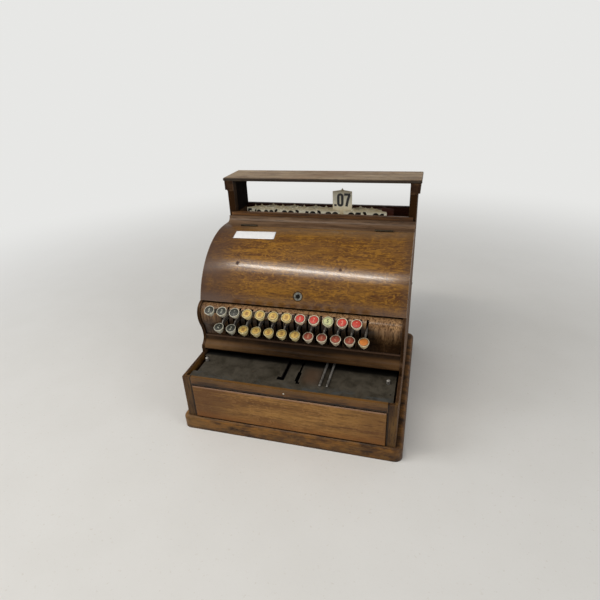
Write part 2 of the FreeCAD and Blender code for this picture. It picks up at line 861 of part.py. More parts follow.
def make_key_cap(index):
    """Tapered key, its face tilted towards the clerk, its foot slotted for the lever."""
    cap = Part.makeCone(key_foot_radius, key_radius, key_body_height, V(0, 0, -key_body_height))
    tilt = FreeCAD.Rotation(V(1, 0, 0), key_tilt(index))
    cap.Placement = FreeCAD.Placement(V(lever_x(index), *key_face(index)), tilt)
    return cap


def make_key(index):
    lever = make_lever(index)
    return Part.makeCompound([lever, make_key_cap(index).cut(lever)])


# ---- tablets ------------------------------------------------------------

def make_tablet(index, lift, foot_lift):
    """Tablet plate, its top rising to a hollow-sided spire, and its push rod.

    The rod's foot stands rod_foot_gap above the tail of its lever, raised by foot_lift.
    """
    rod_x = lever_x(index)
    x = rod_x - tablet_shift
    y = layer_y(index) - tablet_thickness / 2
    half = tablet_width / 2
    shoulder_z = tablet_shoulder_height + lift
    foot = shoulder_z - tablet_plate_height
    crest = shoulder_z + tablet_crest
    peak = V(x, y, crest + spire_height)
    corners = [V(x - spire_half_width, y, crest), V(x - half, y, shoulder_z),
               V(x - half, y, foot), V(x + half, y, foot), V(x + half, y, shoulder_z),
               V(x + spire_half_width, y, crest)]
    edges = [Part.makeLine(a, b) for a, b in zip(corners, corners[1:])]
    slant = math.atan2(spire_height, spire_half_width)
    for side in (1, -1):
        inward = V(-side * math.sin(slant), 0, -math.cos(slant)) * spire_sag
        spring = V(x + side * spire_half_width, y, crest)
        edges.append(Part.Arc(spring, (spring + peak) * 0.5 + inward, peak).toShape())
    outline = Part.Wire(Part.sortEdges(edges)[0])
    plate = Part.Face(outline).extrude(V(0, tablet_thickness, 0))
    rod_foot = tail_height(layer_y(index)) + lever_depth / 2 / math.cos(math.radians(tail_fall))
    rod_foot += rod_foot_gap + foot_lift
    rod = block(rod_x - rod_width / 2, rod_x + rod_width / 2, layer_y(index) - rod_thickness / 2,
                layer_y(index) + rod_thickness / 2, rod_foot, foot)
    return plate.fuse(rod).removeSplitter()


def tablet_travel(index):
    """Rise of a tablet for a full press of its key."""
    return math.radians(key_press) * (layer_y(index) - shaft_y)


def make_lowered_tablets():
    """Tablets at rest, with rods that end above the highest reach of their tails."""
    moving = set(moving_tablets) | {raised_key}
    still = [i for i in range(key_count) if i + 1 not in moving]
    return Part.makeCompound([make_tablet(i, 0.0, tablet_travel(i)) for i in still])


def make_tablet_guides():
    """Two slotted guide plates for the push rods."""
    plates = []
    first = sill_back + first_tablet_setback - guide_margin
    last = sill_back + first_tablet_setback + (tablet_layers - 1) * tablet_layer_pitch + guide_margin
    for z in guide_heights:
        plate = block(-bracket_inner, bracket_inner, first, last, z, z + guide_thickness)
        slots = []
        for index in range(key_count):
            x, y = lever_x(index), layer_y(index)
            wide = rod_width / 2 + guide_slot_clearance
            deep = rod_thickness / 2 + guide_slot_clearance
            slots.append(block(x - wide, x + wide, y - deep, y + deep, z, z + guide_thickness))
        plates.append(cut_all(plate, slots))
    return Part.makeCompound(plates)


# ---- shaft and brackets -------------------------------------------------

def make_key_shaft():
    return Part.makeCylinder(shaft_radius, 2 * bracket_outer, V(-bracket_outer, shaft_y, shaft_height),
                             V(1, 0, 0))


def make_mechanism_brackets():
    """Shaft brackets and guide posts, all standing on the dust board."""
    foot_end = bracket_outer - bracket_foot
    half = bracket_half_length
    waist = bracket_boss_radius
    spots = [(shaft_y - half, dust_top), (shaft_y - waist, shaft_height),
             (shaft_y + waist, shaft_height), (shaft_y + half, dust_top)]
    bracket = board(bracket_inner, bracket_outer, spots[0], polygon(spots))
    centre = V(bracket_inner, shaft_y, shaft_height)
    boss = Part.makeCylinder(bracket_boss_radius, bracket_thickness, centre, V(1, 0, 0))
    bore = Part.makeCylinder(shaft_radius + shaft_clearance, bracket_thickness, centre, V(1, 0, 0))
    foot = block(foot_end, bracket_outer, shaft_y - half, shaft_y + half,
                 dust_top, dust_top + bracket_foot_height)
    bracket = bracket.fuse([boss, foot]).cut(bore).removeSplitter()

    first = sill_back + first_tablet_setback - guide_margin
    last = sill_back + first_tablet_setback + (tablet_layers - 1) * tablet_layer_pitch + guide_margin
    top = guide_heights[-1] + guide_thickness + guide_post_top
    bar_front = sill_back + first_tablet_setback - rest_bar_setback
    bar_top = rest_bar_top()
    spots = [(bar_front, dust_top), (bar_front, bar_top), (first, bar_top + first - bar_front),
             (first, top), (last, top), (last, dust_top)]
    post = board(bracket_inner, bracket_outer, spots[0], polygon(spots))
    foot = block(foot_end, bracket_outer, bar_front, last, dust_top, dust_top + bracket_foot_height)
    post = post.fuse(foot).removeSplitter()
    return Part.makeCompound([mirrored(bracket), bracket, mirrored(post), post])


def rest_bar_top():
    back = sill_back + first_tablet_setback - rest_bar_setback + rest_bar_depth
    lower_edge = tail_height(back) - lever_depth / 2 / math.cos(math.radians(tail_fall))
    return lower_edge - rest_bar_clearance


def make_tail_rest_bar():
    front = sill_back + first_tablet_setback - rest_bar_setback
    top = rest_bar_top()
    return block(-bracket_inner, bracket_inner, front, front + rest_bar_depth,
                 top - rest_bar_height, top)


# ---- files --------------------------------------------------------------

def main():
    os.makedirs("parts", exist_ok=True)
    side = make_side_panel()
    nodes = {
        "base": make_base(),
        "side_panel_left": mirrored(side),
        "side_panel_right": side,
        "back_panel": make_back_panel(),
        "rear_rail": make_rear_rail(),
        "front_stiles": make_front_stiles(),
        "drawer_rail": make_drawer_rail(),
        "drawer_runners": make_drawer_runners(),
        "dust_board": make_dust_board(),
        "deck_plate": cut_all(make_deck_plate(), rod_holes()),
        "deck_studs": make_deck_studs(),
        "deck_rods": make_deck_rods(),
        "lower_rail": make_lower_rail(),
        "key_fascia": make_key_fascia(),
        "cove_moulding": make_cove_moulding(),
        "indicator_sill": make_indicator_sill(),
        "post_capitals": make_post_capitals(),
        "top_board": make_top_board(),
        "mechanism_brackets": make_mechanism_brackets(),
        "key_shaft": make_key_shaft(),
        "tail_rest_bar": make_tail_rest_bar(),
        "tablet_guides": make_tablet_guides(),
        "hinge_fixed_leaves": make_hinge_fixed_leaves(),
        "tablets_lowered": make_lowered_tablets(),
        "lid": make_lid(),
        "hinge_lid_leaves": make_hinge_lid_leaves(),
        "lid_lock": make_lid_lock(),
        "lock_plug": make_lock_plug(),
        "drawer_front": make_drawer_front(),
        "drawer_walls": make_drawer_walls(),
        "drawer_bottom": make_drawer_bottom(),
        "till_dividers": make_till_dividers(),
    }
    for index in range(key_count):
        nodes["key_%02d" % (index + 1)] = make_key(index)
    for number in moving_tablets:
        nodes["tablet_%02d" % number] = make_tablet(number - 1, 0.0, 0.0)
    rise = tablet_travel(raised_key - 1)
    nodes["tablet_raised"] = make_tablet(raised_key - 1, rise - latch_settle, rise)
    for name, shape in nodes.items():
        shape.exportStep("parts/%s.step" % name)


main()
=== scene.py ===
import math

import bpy
import numpy as np
from mathutils import Matrix, Vector


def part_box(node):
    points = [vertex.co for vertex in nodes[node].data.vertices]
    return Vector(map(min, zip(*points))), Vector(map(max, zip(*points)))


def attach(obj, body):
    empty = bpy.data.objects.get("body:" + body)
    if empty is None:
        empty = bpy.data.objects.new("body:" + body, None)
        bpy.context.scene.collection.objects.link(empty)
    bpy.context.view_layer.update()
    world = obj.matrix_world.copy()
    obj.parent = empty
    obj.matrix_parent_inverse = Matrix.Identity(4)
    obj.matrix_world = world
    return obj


# Wooden cash register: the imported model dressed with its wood, paint, keys and tablets.
# Metres, +Z up, the clerk stands on the -Y side.

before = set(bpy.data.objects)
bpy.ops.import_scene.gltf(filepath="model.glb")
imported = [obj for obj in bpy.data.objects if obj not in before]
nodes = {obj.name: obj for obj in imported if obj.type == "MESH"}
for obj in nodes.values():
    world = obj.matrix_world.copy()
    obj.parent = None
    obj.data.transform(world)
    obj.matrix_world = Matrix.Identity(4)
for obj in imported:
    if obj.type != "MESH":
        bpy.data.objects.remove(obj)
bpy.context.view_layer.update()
print("frame loaded:", len(nodes), "nodes")


# Shader helpers: each adds nodes to a tree and returns what they give.

def newMaterial(name):
    material = bpy.data.materials.new(name)
    material.use_nodes = True
    tree = material.node_tree
    tree.nodes.clear()
    output = tree.nodes.new("ShaderNodeOutputMaterial")
    shader = tree.nodes.new("ShaderNodeBsdfPrincipled")
    tree.links.new(shader.outputs["BSDF"], output.inputs["Surface"])
    return material, tree, shader


def objectSpace(tree, scale=(1, 1, 1), turn=(0, 0, 0), place=(0, 0, 0)):
    coords = tree.nodes.new("ShaderNodeTexCoord")
    mapping = tree.nodes.new("ShaderNodeMapping")
    mapping.inputs["Scale"].default_value = scale
    mapping.inputs["Rotation"].default_value = turn
    mapping.inputs["Location"].default_value = place
    tree.links.new(coords.outputs["Object"], mapping.inputs["Vector"])
    return mapping.outputs["Vector"]


def noise(tree, vector, scale, detail, roughness, distortion=0.0):
    # between 0 and 1, but mostly from 0.3 to 0.7, where the steps over it are set
    node = tree.nodes.new("ShaderNodeTexNoise")
    node.inputs["Scale"].default_value = scale
    node.inputs["Detail"].default_value = detail
    node.inputs["Roughness"].default_value = roughness
    node.inputs["Distortion"].default_value = distortion
    tree.links.new(vector, node.inputs["Vector"])
    return node.outputs["Fac"]


def remap(tree, value, low, high, toLow=0.0, toHigh=1.0):
    # an S-shaped step from toLow at low to toHigh at high
    node = tree.nodes.new("ShaderNodeMapRange")
    node.interpolation_type = "SMOOTHSTEP"
    node.inputs["From Min"].default_value = low
    node.inputs["From Max"].default_value = high
    node.inputs["To Min"].default_value = toLow
    node.inputs["To Max"].default_value = toHigh
    tree.links.new(value, node.inputs["Value"])
    return node.outputs["Result"]


def fallOff(tree, value, low, high, most=1.0):
    return remap(tree, value, low, high, most, 0.0)


def calc(tree, kind, first, second=None, clamp=False):
    node = tree.nodes.new("ShaderNodeMath")
    node.operation = kind
    node.use_clamp = clamp
    for socket, item in zip(node.inputs, (first, second)):
        if item is None:
            continue
        if isinstance(item, (int, float)):
            socket.default_value = item
        else:
            tree.links.new(item, socket)
    return node.outputs["Value"]


def times(tree, first, second):
    return calc(tree, "MULTIPLY", first, second)


def blendColours(tree, factor, first, second):
    node = tree.nodes.new("ShaderNodeMix")
    node.data_type = "RGBA"
    for name, item in (("Factor", factor), ("A", first), ("B", second)):
        socket = [s for s in node.inputs if s.name == name and s.enabled][0]
        if isinstance(item, tuple):
            socket.default_value = item + (1.0,)
        else:
            tree.links.new(item, socket)
    return [s for s in node.outputs if s.enabled][0]


def objectAxis(tree, axis):
    # X, Y or Z of the object's own space, or absX for the distance from the middle plane
    coords = tree.nodes.new("ShaderNodeTexCoord")
    split = tree.nodes.new("ShaderNodeSeparateXYZ")
    tree.links.new(coords.outputs["Object"], split.inputs["Vector"])
    if axis == "absX":
        return calc(tree, "ABSOLUTE", split.outputs["X"])
    return split.outputs[axis]


def facing(tree, axis):
    # how far the surface faces along an axis, from -1 to 1
    coords = tree.nodes.new("ShaderNodeTexCoord")
    split = tree.nodes.new("ShaderNodeSeparateXYZ")
    tree.links.new(coords.outputs["Normal"], split.inputs["Vector"])
    return split.outputs[axis]


def distanceFrom(tree, spot):
    node = tree.nodes.new("ShaderNodeVectorMath")
    node.operation = "DISTANCE"
    tree.links.new(objectSpace(tree), node.inputs[0])
    node.inputs[1].default_value = spot
    return node.outputs["Value"]


def enclosed(tree, distance, inside=False):
    # 0 in corners and 1 in the open; seen from inside, 0 on sharp edges
    node = tree.nodes.new("ShaderNodeAmbientOcclusion")
    node.samples = 5
    node.inside = inside
    node.only_local = inside
    node.inputs["Distance"].default_value = distance
    return node.outputs["AO"]


def band(tree, axis, low, high, soft):
    # 1 between two places on an axis, with soft ends
    place = objectAxis(tree, axis)
    rise = remap(tree, place, low - soft, low + soft)
    return times(tree, rise, fallOff(tree, place, high - soft, high + soft))


def bump(tree, shader, height, strength, distance):
    node = tree.nodes.new("ShaderNodeBump")
    node.inputs["Strength"].default_value = strength
    node.inputs["Distance"].default_value = distance
    tree.links.new(height, node.inputs["Height"])
    tree.links.new(node.outputs["Normal"], shader.inputs["Normal"])


# Places that no single axis picks out. Each is 1 inside and falls to 0 around it.

places = {
    "keyField": {"sides": (0.138, 0.178), "top": (0.2080, 0.2230)},  # the fascia behind the keys
    "trayWall": {"inward": (-0.15, -0.05), "rear": (-0.125, -0.115)},  # sides, beside the tray
    "topLip": {"upward": (0.80, 0.97), "rear": (-0.2040, -0.2030)},  # the drawer front's upper lip
}


def placeValue(tree, name):
    # a mask from the dictionary above, or else a plain axis
    place = places.get(name)
    if name == "keyField":
        return times(tree, fallOff(tree, objectAxis(tree, "absX"), *place["sides"]),
                     fallOff(tree, objectAxis(tree, "Z"), *place["top"]))
    if name == "trayWall":
        inward = times(tree, facing(tree, "X"), objectAxis(tree, "X"))
        return times(tree, fallOff(tree, inward, *place["inward"]),
                     fallOff(tree, objectAxis(tree, "Y"), *place["rear"]))
    if name == "topLip":
        return times(tree, remap(tree, facing(tree, "Z"), *place["upward"]),
                     fallOff(tree, objectAxis(tree, "Y"), *place["rear"]))
    return objectAxis(tree, name)


# Camera, floor and lamps.

cameraView = {
    "place": (0.2256, -0.8252, 0.6387),
    "yaw": 16.6,
    "down": 26.67,
    "roll": -2.79,
    "lens": 26.84,
    "sensor": 36.0,
    "nearest": 0.01,
}


def makeCamera(view):
    yaw, down, roll = (math.radians(view[key]) for key in ("yaw", "down", "roll"))
    forward = Vector((-math.sin(yaw) * math.cos(down), math.cos(yaw) * math.cos(down),
                      -math.sin(down)))
    right = Vector((math.cos(yaw), math.sin(yaw), 0.0))
    up = right.cross(forward)
    turnedRight = right * math.cos(roll) + up * math.sin(roll)
    turnedUp = up * math.cos(roll) - right * math.sin(roll)
    data = bpy.data.cameras.new("camera")
    data.sensor_width = view["sensor"]
    data.lens = view["lens"]
    data.clip_start = view["nearest"]
    camera = bpy.data.objects.new("camera", data)
    turn = Matrix((turnedRight, turnedUp, -forward)).transposed().to_4x4()
    camera.matrix_world = Matrix.Translation(view["place"]) @ turn
    bpy.context.collection.objects.link(camera)
    bpy.context.scene.camera = camera


makeCamera(cameraView)

room = {
    "floorColour": (0.72, 0.715, 0.695),
    "floorShade": (0.64, 0.63, 0.60),
    "gritColour": (0.48, 0.42, 0.34),
    "floorRoughness": 0.55,
    "floorSpecular": 0.3,
    "floorHalf": 9.0,
    "fadeStart": 0.5,
    "fadeEnd": 2.1,
    "backColour": (0.80, 0.80, 0.785, 1.0),
    "lightColour": (1.0, 0.99, 0.97, 1.0),
    "worldStrength": 0.40,
    "skyGloss": 0.12,
    "horizon": (0.12, 0.42),
}


def lookedAt(tree):
    # 1 where the camera, a reflection or a refraction looks at it
    path = tree.nodes.new("ShaderNodeLightPath")
    seen = calc(tree, "MAXIMUM", path.outputs["Is Camera Ray"], path.outputs["Is Glossy Ray"])
    return calc(tree, "MAXIMUM", seen, path.outputs["Is Transmission Ray"])


def mixShaders(tree, factor, first, second):
    mix = tree.nodes.new("ShaderNodeMixShader")
    tree.links.new(factor, mix.inputs["Fac"])
    tree.links.new(first, mix.inputs[1])
    tree.links.new(second, mix.inputs[2])
    return mix.outputs["Shader"]


def makeFloor(room):
    # The pale floor turns into the background with distance, so no far edge shows.
    half = room["floorHalf"]
    corners = [(-half, -half, 0), (half, -half, 0), (half, half, 0), (-half, half, 0)]
    mesh = bpy.data.meshes.new("floor")
    mesh.from_pydata(corners, [], [(0, 1, 2, 3)])
    floor = bpy.data.objects.new("floor", mesh)
    bpy.context.collection.objects.link(floor)
    material, tree, shader = newMaterial("floorPaint")
    cloud = noise(tree, objectSpace(tree), 7.0, 6.0, 0.6)
    grit = noise(tree, objectSpace(tree), 160.0, 3.0, 0.6)
    tone = remap(tree, cloud, 0.3, 0.7, 0.75, 1.0)
    colour = blendColours(tree, tone, room["floorShade"], room["floorColour"])
    specks = remap(tree, grit, 0.62, 0.72, 0.0, 0.25)
    colour = blendColours(tree, specks, colour, room["gritColour"])
    tree.links.new(colour, shader.inputs["Base Color"])
    shader.inputs["Roughness"].default_value = room["floorRoughness"]
    shader.inputs["Specular IOR Level"].default_value = room["floorSpecular"]
    bump(tree, shader, grit, 0.15, 0.001)
    back = tree.nodes.new("ShaderNodeEmission")
    back.inputs["Color"].default_value = room["backColour"]
    length = tree.nodes.new("ShaderNodeVectorMath")
    length.operation = "LENGTH"
    tree.links.new(objectSpace(tree), length.inputs[0])
    far = remap(tree, length.outputs["Value"], room["fadeStart"], room["fadeEnd"])
    output = [node for node in tree.nodes if node.type == "OUTPUT_MATERIAL"][0]
    mixed = mixShaders(tree, times(tree, far, lookedAt(tree)), shader.outputs["BSDF"],
                       back.outputs["Emission"])
    tree.links.new(mixed, output.inputs["Surface"])
    mesh.materials.append(material)


def makeWorld(room):
    # Plain light. The background is pale; reflections see it bright at the horizon, dim overhead.
    world = bpy.data.worlds.new("room")
    world.use_nodes = True
    bpy.context.scene.world = world
    tree = world.node_tree
    tree.nodes.clear()
    output = tree.nodes.new("ShaderNodeOutputWorld")
    light = tree.nodes.new("ShaderNodeBackground")
    light.inputs["Color"].default_value = room["lightColour"]
    light.inputs["Strength"].default_value = room["worldStrength"]
    pale = tree.nodes.new("ShaderNodeBackground")
    pale.inputs["Color"].default_value = room["backColour"]
    coords = tree.nodes.new("ShaderNodeTexCoord")
    split = tree.nodes.new("ShaderNodeSeparateXYZ")
    tree.links.new(coords.outputs["Generated"], split.inputs["Vector"])
    strength = remap(tree, split.outputs["Z"], *room["horizon"], 1.0, room["skyGloss"])
    path = tree.nodes.new("ShaderNodeLightPath")
    strength = calc(tree, "MAXIMUM", strength, path.outputs["Is Camera Ray"])
    tree.links.new(strength, pale.inputs["Strength"])
    mixed = mixShaders(tree, lookedAt(tree), light.outputs[0], pale.outputs[0])
    tree.links.new(mixed, output.inputs["Surface"])


# The strip makes the long highlight on the lid, the glow the soft light around it.
lamps = {
    "ceilingStrip": {"place": (-0.34, -0.73, 1.67), "target": (0.0, -0.05, 0.3),
                     "size": (0.86, 0.072), "power": 5.3, "along": (1.15, -0.30, 0.0),
                     "colour": (1.0, 0.94, 0.85)},
    "ceilingGlow": {"place": (-0.35, -0.74, 1.70), "target": (0.0, -0.05, 0.3),
                    "size": (1.0, 0.50), "power": 4.3, "along": (1.15, -0.30, 0.0),
                    "colour": (1.0, 0.95, 0.88)},
    "leftSoft": {"place": (-2.1, -0.9, 1.9), "target": (0.0, 0.0, 0.2),
                 "size": (1.2, 1.4), "power": 26.0, "along": (0, 1, 0), "colour": (1, 1, 1)},
    "rightSoft": {"place": (2.1, -0.8, 1.5), "target": (0.0, 0.0, 0.2),
                  "size": (1.2, 1.0), "power": 12.0, "along": (0, 1, 0), "colour": (1, 1, 1)},
}


def makeLamp(name, look):
    # An area lamp that faces its target, with its long side along the given direction.
    data = bpy.data.lights.new(name, "AREA")
    data.shape = "RECTANGLE"
    data.size, data.size_y = look["size"]
    data.energy = look["power"]
    data.color = look["colour"]
    lamp = bpy.data.objects.new(name, data)
    back = (Vector(look["place"]) - Vector(look["target"])).normalized()
    side = Vector(look["along"])
    side = (side - back * side.dot(back)).normalized()
    turn = Matrix((side, back.cross(side), back)).transposed().to_4x4()
    lamp.matrix_world = Matrix.Translation(look["place"]) @ turn
    bpy.context.collection.objects.link(lamp)


makeFloor(room)
makeWorld(room)
for lampName, look in lamps.items():
    makeLamp(lampName, look)
bpy.context.scene.view_settings.view_transform = "Standard"
print("camera, floor and lamps ready")


# Wood: two tones mixed by the grain, slow patches of a third, and wear, dirt, painted shade and
# painted highlights on top.

woodDefaults = {
    "stretch": 0.07, "grainScale": 80.0, "curl": 0.6, "turn": (0, 0, 0),
    "poreScale": 460.0, "poreAmount": 0.55, "patchScale": 12.0, "patchAmount": 0.7,
    "scuffScale": 60.0, "wear": 0.25, "edge": 0.5, "edgeReach": 0.0022,
    "grimeAndShade": 0.85, "grimeAndShadeReach": 0.010, "grimeAndShadeColour": (0.008, 0.004, 0.002),
    "specular": 0.22, "coat": 0.08, "coatIor": 1.5, "coatRoughness": 0.22, "coatWorn": 0.55,
    "bump": 0.22, "bumpDepth": 0.0005, "dirtAndPaintedLight": (), "sides": (), "dents": (),
}


def drawnOut(wood, amount):
    # squeezes space along the grain, so that noise in it is drawn out that way
    scale = [1.0, 1.0, 1.0]
    scale["XYZ".index(wood["grain"])] = amount
    return scale


def addFlakes(tree, colour, wood):
    # pale ray flakes in some places, with dark gaps between them
    lying = objectSpace(tree, drawnOut(wood, 0.50), (0.1, 0.22, 0.12))
    flakes = noise(tree, lying, wood["flakeScale"], 3.0, 0.55, 1.6)
    gate = noise(tree, objectSpace(tree), 20.0, 3.0, 0.55)
    shown = times(tree, remap(tree, flakes, 0.45, 0.61), remap(tree, gate, 0.34, 0.56))
    colour = blendColours(tree, times(tree, shown, wood["flake"]), colour, wood["flakeColour"])
    return blendColours(tree, fallOff(tree, flakes, 0.34, 0.44, 0.32), colour, wood["dark"])


def addDirtAndPaintedLight(tree, colour, wood):
    # broken-up dirt, wear, painted shade and painted highlights by place, then painted shade by the
    # way a face looks
    for place, low, high, atLow, atHigh, shade in wood["dirtAndPaintedLight"]:
        amount = remap(tree, placeValue(tree, place), low, high, atLow, atHigh)
        broken = remap(tree, noise(tree, objectSpace(tree), 34.0, 4.0, 0.6), 0.25, 0.60, 0.6, 1.0)
        colour = blendColours(tree, times(tree, amount, broken), colour, shade)
    for axis, low, high, shade, most in wood["sides"]:
        amount = remap(tree, facing(tree, axis), low, high, 0.0, most)
        colour = blendColours(tree, amount, colour, shade)
    return colour


def addDents(tree, colour, varnish, wood):
    # ragged round spots, where the varnish is gone too
    for spot, reach, shade in wood["dents"]:
        wander = noise(tree, objectSpace(tree), 260.0, 3.0, 0.6)
        ragged = calc(tree, "ADD", distanceFrom(tree, spot), times(tree, wander, reach))
        dent = fallOff(tree, ragged, reach * 0.9, reach * 1.4)
        colour = blendColours(tree, dent, colour, shade)
        varnish = times(tree, varnish, calc(tree, "SUBTRACT", 1.0, dent))
    return colour, varnish


def shadePosts(tree, colour, gloss, post):
    # painted shade on the faces of the two posts that look into the window, and dull there as well
    inside = times(tree, fallOff(tree, objectAxis(tree, "absX"), *post["inner"]),
                   remap(tree, objectAxis(tree, "Z"), *post["foot"]))
    inside = times(tree, inside,
                   remap(tree, objectAxis(tree, "Y"), *post["front"], post["frontAmount"], 1.0))
    colour = blendColours(tree, times(tree, inside, post["amount"]), colour, post["shade"])
    return colour, calc(tree, "ADD", gloss, times(tree, inside, post["dulling"]), True)


def makeWood(name, wood):
    # Grain is noise drawn out along one axis, over slow patches of board. Pores, ray flakes,
    # dirt and painted light by place, and dents come on top, then scuffs, bare edges, and dirt
    # with painted shade in corners.
    wood = {**woodDefaults, **wood}
    material, tree, shader = newMaterial(name)
    fibres = objectSpace(tree, drawnOut(wood, wood["stretch"]), wood["turn"])
    grain = noise(tree, fibres, wood["grainScale"], 6.0, 0.62, wood["curl"])
    pores = noise(tree, fibres, wood["poreScale"], 3.0, 0.6, 0.2)
    tone = remap(tree, grain, 0.34, 0.66)
    colour = blendColours(tree, tone, wood["dark"], wood["light"])
    boards = objectSpace(tree, drawnOut(wood, 0.45), wood["turn"], (0.3, 0.1, 0.7))
    patches = noise(tree, boards, wood["patchScale"], 4.0, 0.55)
    patches = remap(tree, patches, 0.40, 0.62, 0.0, wood["patchAmount"])
    colour = blendColours(tree, patches, colour, wood["patch"])
    if "flake" in wood:
        colour = addFlakes(tree, colour, wood)
    poreDark = fallOff(tree, pores, 0.36, 0.50, wood["poreAmount"])
    colour = blendColours(tree, poreDark, colour, wood["pore"])
    colour = addDirtAndPaintedLight(tree, colour, wood)
    scuffs = noise(tree, objectSpace(tree), wood["scuffScale"], 6.0, 0.7, 0.4)
    varnish = remap(tree, scuffs, 0.60, 0.72, 1.0, wood["coatWorn"])
    colour, varnish = addDents(tree, colour, varnish, wood)
    worn = remap(tree, scuffs, 0.60, 0.70, 0.0, wood["wear"])
    colour = blendColours(tree, worn, colour, wood["wornColour"])
    edges = fallOff(tree, enclosed(tree, wood["edgeReach"], True), 0.50, 0.92, wood["edge"])
    edges = times(tree, edges, remap(tree, scuffs, 0.35, 0.60))
    colour = blendColours(tree, edges, colour, wood["wornColour"])
    # dirt with painted shade: darker in corners, in gaps between parts and near the floor
    grimeAndShade = fallOff(tree, enclosed(tree, wood["grimeAndShadeReach"]), 0.40, 0.92, wood["grimeAndShade"])
    colour = blendColours(tree, grimeAndShade, colour, wood["grimeAndShadeColour"])
    rough = wood["roughness"]
    gloss = remap(tree, scuffs, 0.3, 0.75, rough - 0.05, rough + 0.15)
    if "postInside" in wood:
        colour, gloss = shadePosts(tree, colour, gloss, wood["postInside"])
    tree.links.new(colour, shader.inputs["Base Color"])
    tree.links.new(gloss, shader.inputs["Roughness"])
    shader.inputs["Specular IOR Level"].default_value = wood["specular"]
    shader.inputs["Coat Weight"].default_value = wood["coat"]
    if wood["coat"] > 0:
        tree.links.new(times(tree, varnish, wood["coat"]), shader.inputs["Coat Weight"])
    shader.inputs["Coat IOR"].default_value = wood["coatIor"]
    shader.inputs["Coat Roughness"].default_value = wood["coatRoughness"]
    height = calc(tree, "ADD", times(tree, tone, 0.5), times(tree, pores, 0.8))
    bump(tree, shader, height, wood["bump"], wood["bumpDepth"])
    return material


def dress(names, material):
    for name in names:
        mesh = nodes[name].data
        mesh.materials.clear()
        mesh.materials.append(material)


# A row of dirt and painted light is place, low, high, amount at low, amount at high, shade. A row
# of sides, which paints shade by the way a face looks, is axis, low, high, shade, amount. A dent is
# spot, reach, shade.

lidOak = {
    "grain": "X", "dark": (0.100, 0.036, 0.006), "light": (0.265, 0.118, 0.011),
    "patch": (0.150, 0.068, 0.020), "pore": (0.045, 0.018, 0.006), "wornColour": (0.30, 0.17, 0.06),
    "grainScale": 70.0, "stretch": 0.15, "patchScale": 13.0,
    "flake": 0.52, "flakeScale": 175.0, "flakeColour": (0.39, 0.180, 0.016),
    "roughness": 0.45, "coat": 0.8, "coatIor": 1.6, "coatRoughness": 0.15, "specular": 0.12,
    "wear": 0.15,
    # darker towards both ends, the lower edge and the left
    "dirtAndPaintedLight": (("X", 0.184, 0.205, 0.0, 0.55, (0.075, 0.040, 0.024)),
             ("X", -0.205, -0.184, 0.85, 0.0, (0.055, 0.030, 0.020)),
             ("Z", 0.236, 0.262, 0.55, 0.0, (0.060, 0.022, 0.010)),
             # painted sheen: a paler, greyer band along the top of the lid by the hinge
             ("Z", 0.340, 0.347, 0.0, 0.55, (0.190, 0.120, 0.065)),
             ("X", -0.195, -0.115, 0.85, 0.0, (0.075, 0.038, 0.023))),
    "dents": (((-0.1345, -0.0480, 0.3038), 0.0056, (0.045, 0.022, 0.014)),
              ((0.0775, -0.0485, 0.3033), 0.0048, (0.070, 0.034, 0.022))),
}
caseOak = {
    "grain": "Z", "dark": (0.016, 0.007, 0.003), "light": (0.050, 0.022, 0.009),
    "patch": (0.030, 0.013, 0.006), "pore": (0.010, 0.005, 0.003),
    "wornColour": (0.15, 0.080, 0.036), "roughness": 0.46,
}
sideOak = dict(
    caseOak, dark=(0.085, 0.046, 0.025), light=(0.210, 0.122, 0.069), patch=(0.160, 0.090, 0.049),
    # painted shade: darker on the faces that look to the clerk and on those that look up
    sides=(("Y", -0.5, -0.9, (0.026, 0.010, 0.002), 0.93),
           ("Z", 0.55, 0.95, (0.034, 0.015, 0.006), 0.85)),
    specular=0.05, roughness=0.55, coat=0.0,
    # painted shade on the inner faces of the posts
    postInside={"shade": (0.004, 0.0025, 0.002), "inner": (0.1935, 0.1955), "foot": (0.362, 0.366),
                "front": (0.112, 0.118), "frontAmount": 0.35, "amount": 0.93, "dulling": 0.4},
    # darker from just below the posts up through them, and lighter orange on the inward faces
    # beside the tray
    dirtAndPaintedLight=(("Z", 0.350, 0.368, 0.0, 0.85, (0.016, 0.008, 0.003)),
          ("trayWall", 0.0, 0.9, 0.0, 0.95, (0.190, 0.085, 0.016))))
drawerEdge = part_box("drawer_front")[1][0]
stileOak = dict(
    caseOak, dark=(0.038, 0.016, 0.005), light=(0.145, 0.073, 0.018), patch=(0.070, 0.031, 0.009),
    grainScale=120.0, stretch=0.12, coat=0.04,
    # painted shadow: near black along the gap beside the drawer front
    dirtAndPaintedLight=(("absX", drawerEdge + 0.0024, drawerEdge + 0.0050, 0.97, 0.0, (0.004, 0.002, 0.0015)),))
railOak = dict(
    caseOak, grain="X", dark=(0.030, 0.012, 0.004), light=(0.100, 0.046, 0.012),
    patch=(0.19, 0.080, 0.017), patchScale=16.0, edge=0.8, coat=0.2, coatIor=1.6,
    # painted shadow: near black along the bottom, over the gap above the drawer; the next row makes
    # the top lighter and more golden
    dirtAndPaintedLight=(("Z", 0.1084, 0.1112, 0.98, 0.0, (0.004, 0.002, 0.0015)),
          ("Z", 0.1145, 0.1195, 0.0, 0.35, (0.210, 0.105, 0.024))))
baseOak = dict(
    caseOak, grain="X", dark=(0.024, 0.010, 0.004), light=(0.115, 0.050, 0.014),
    patch=(0.260, 0.112, 0.020), patchAmount=0.85, patchScale=55.0, wear=0.55, edge=0.7, coat=0.06,
    flake=0.45, flakeScale=150.0, flakeColour=(0.180, 0.095, 0.024),
    # lighter and more orange towards the left
    dirtAndPaintedLight=(("X", -0.225, -0.110, 0.5, 0.0, (0.240, 0.125, 0.036)),),
    # painted shade: darker on the faces that look to either side
    sides=(("X", 0.5, 0.9, (0.085, 0.040, 0.014), 0.72),
           ("X", -0.5, -0.9, (0.085, 0.040, 0.014), 0.72)))
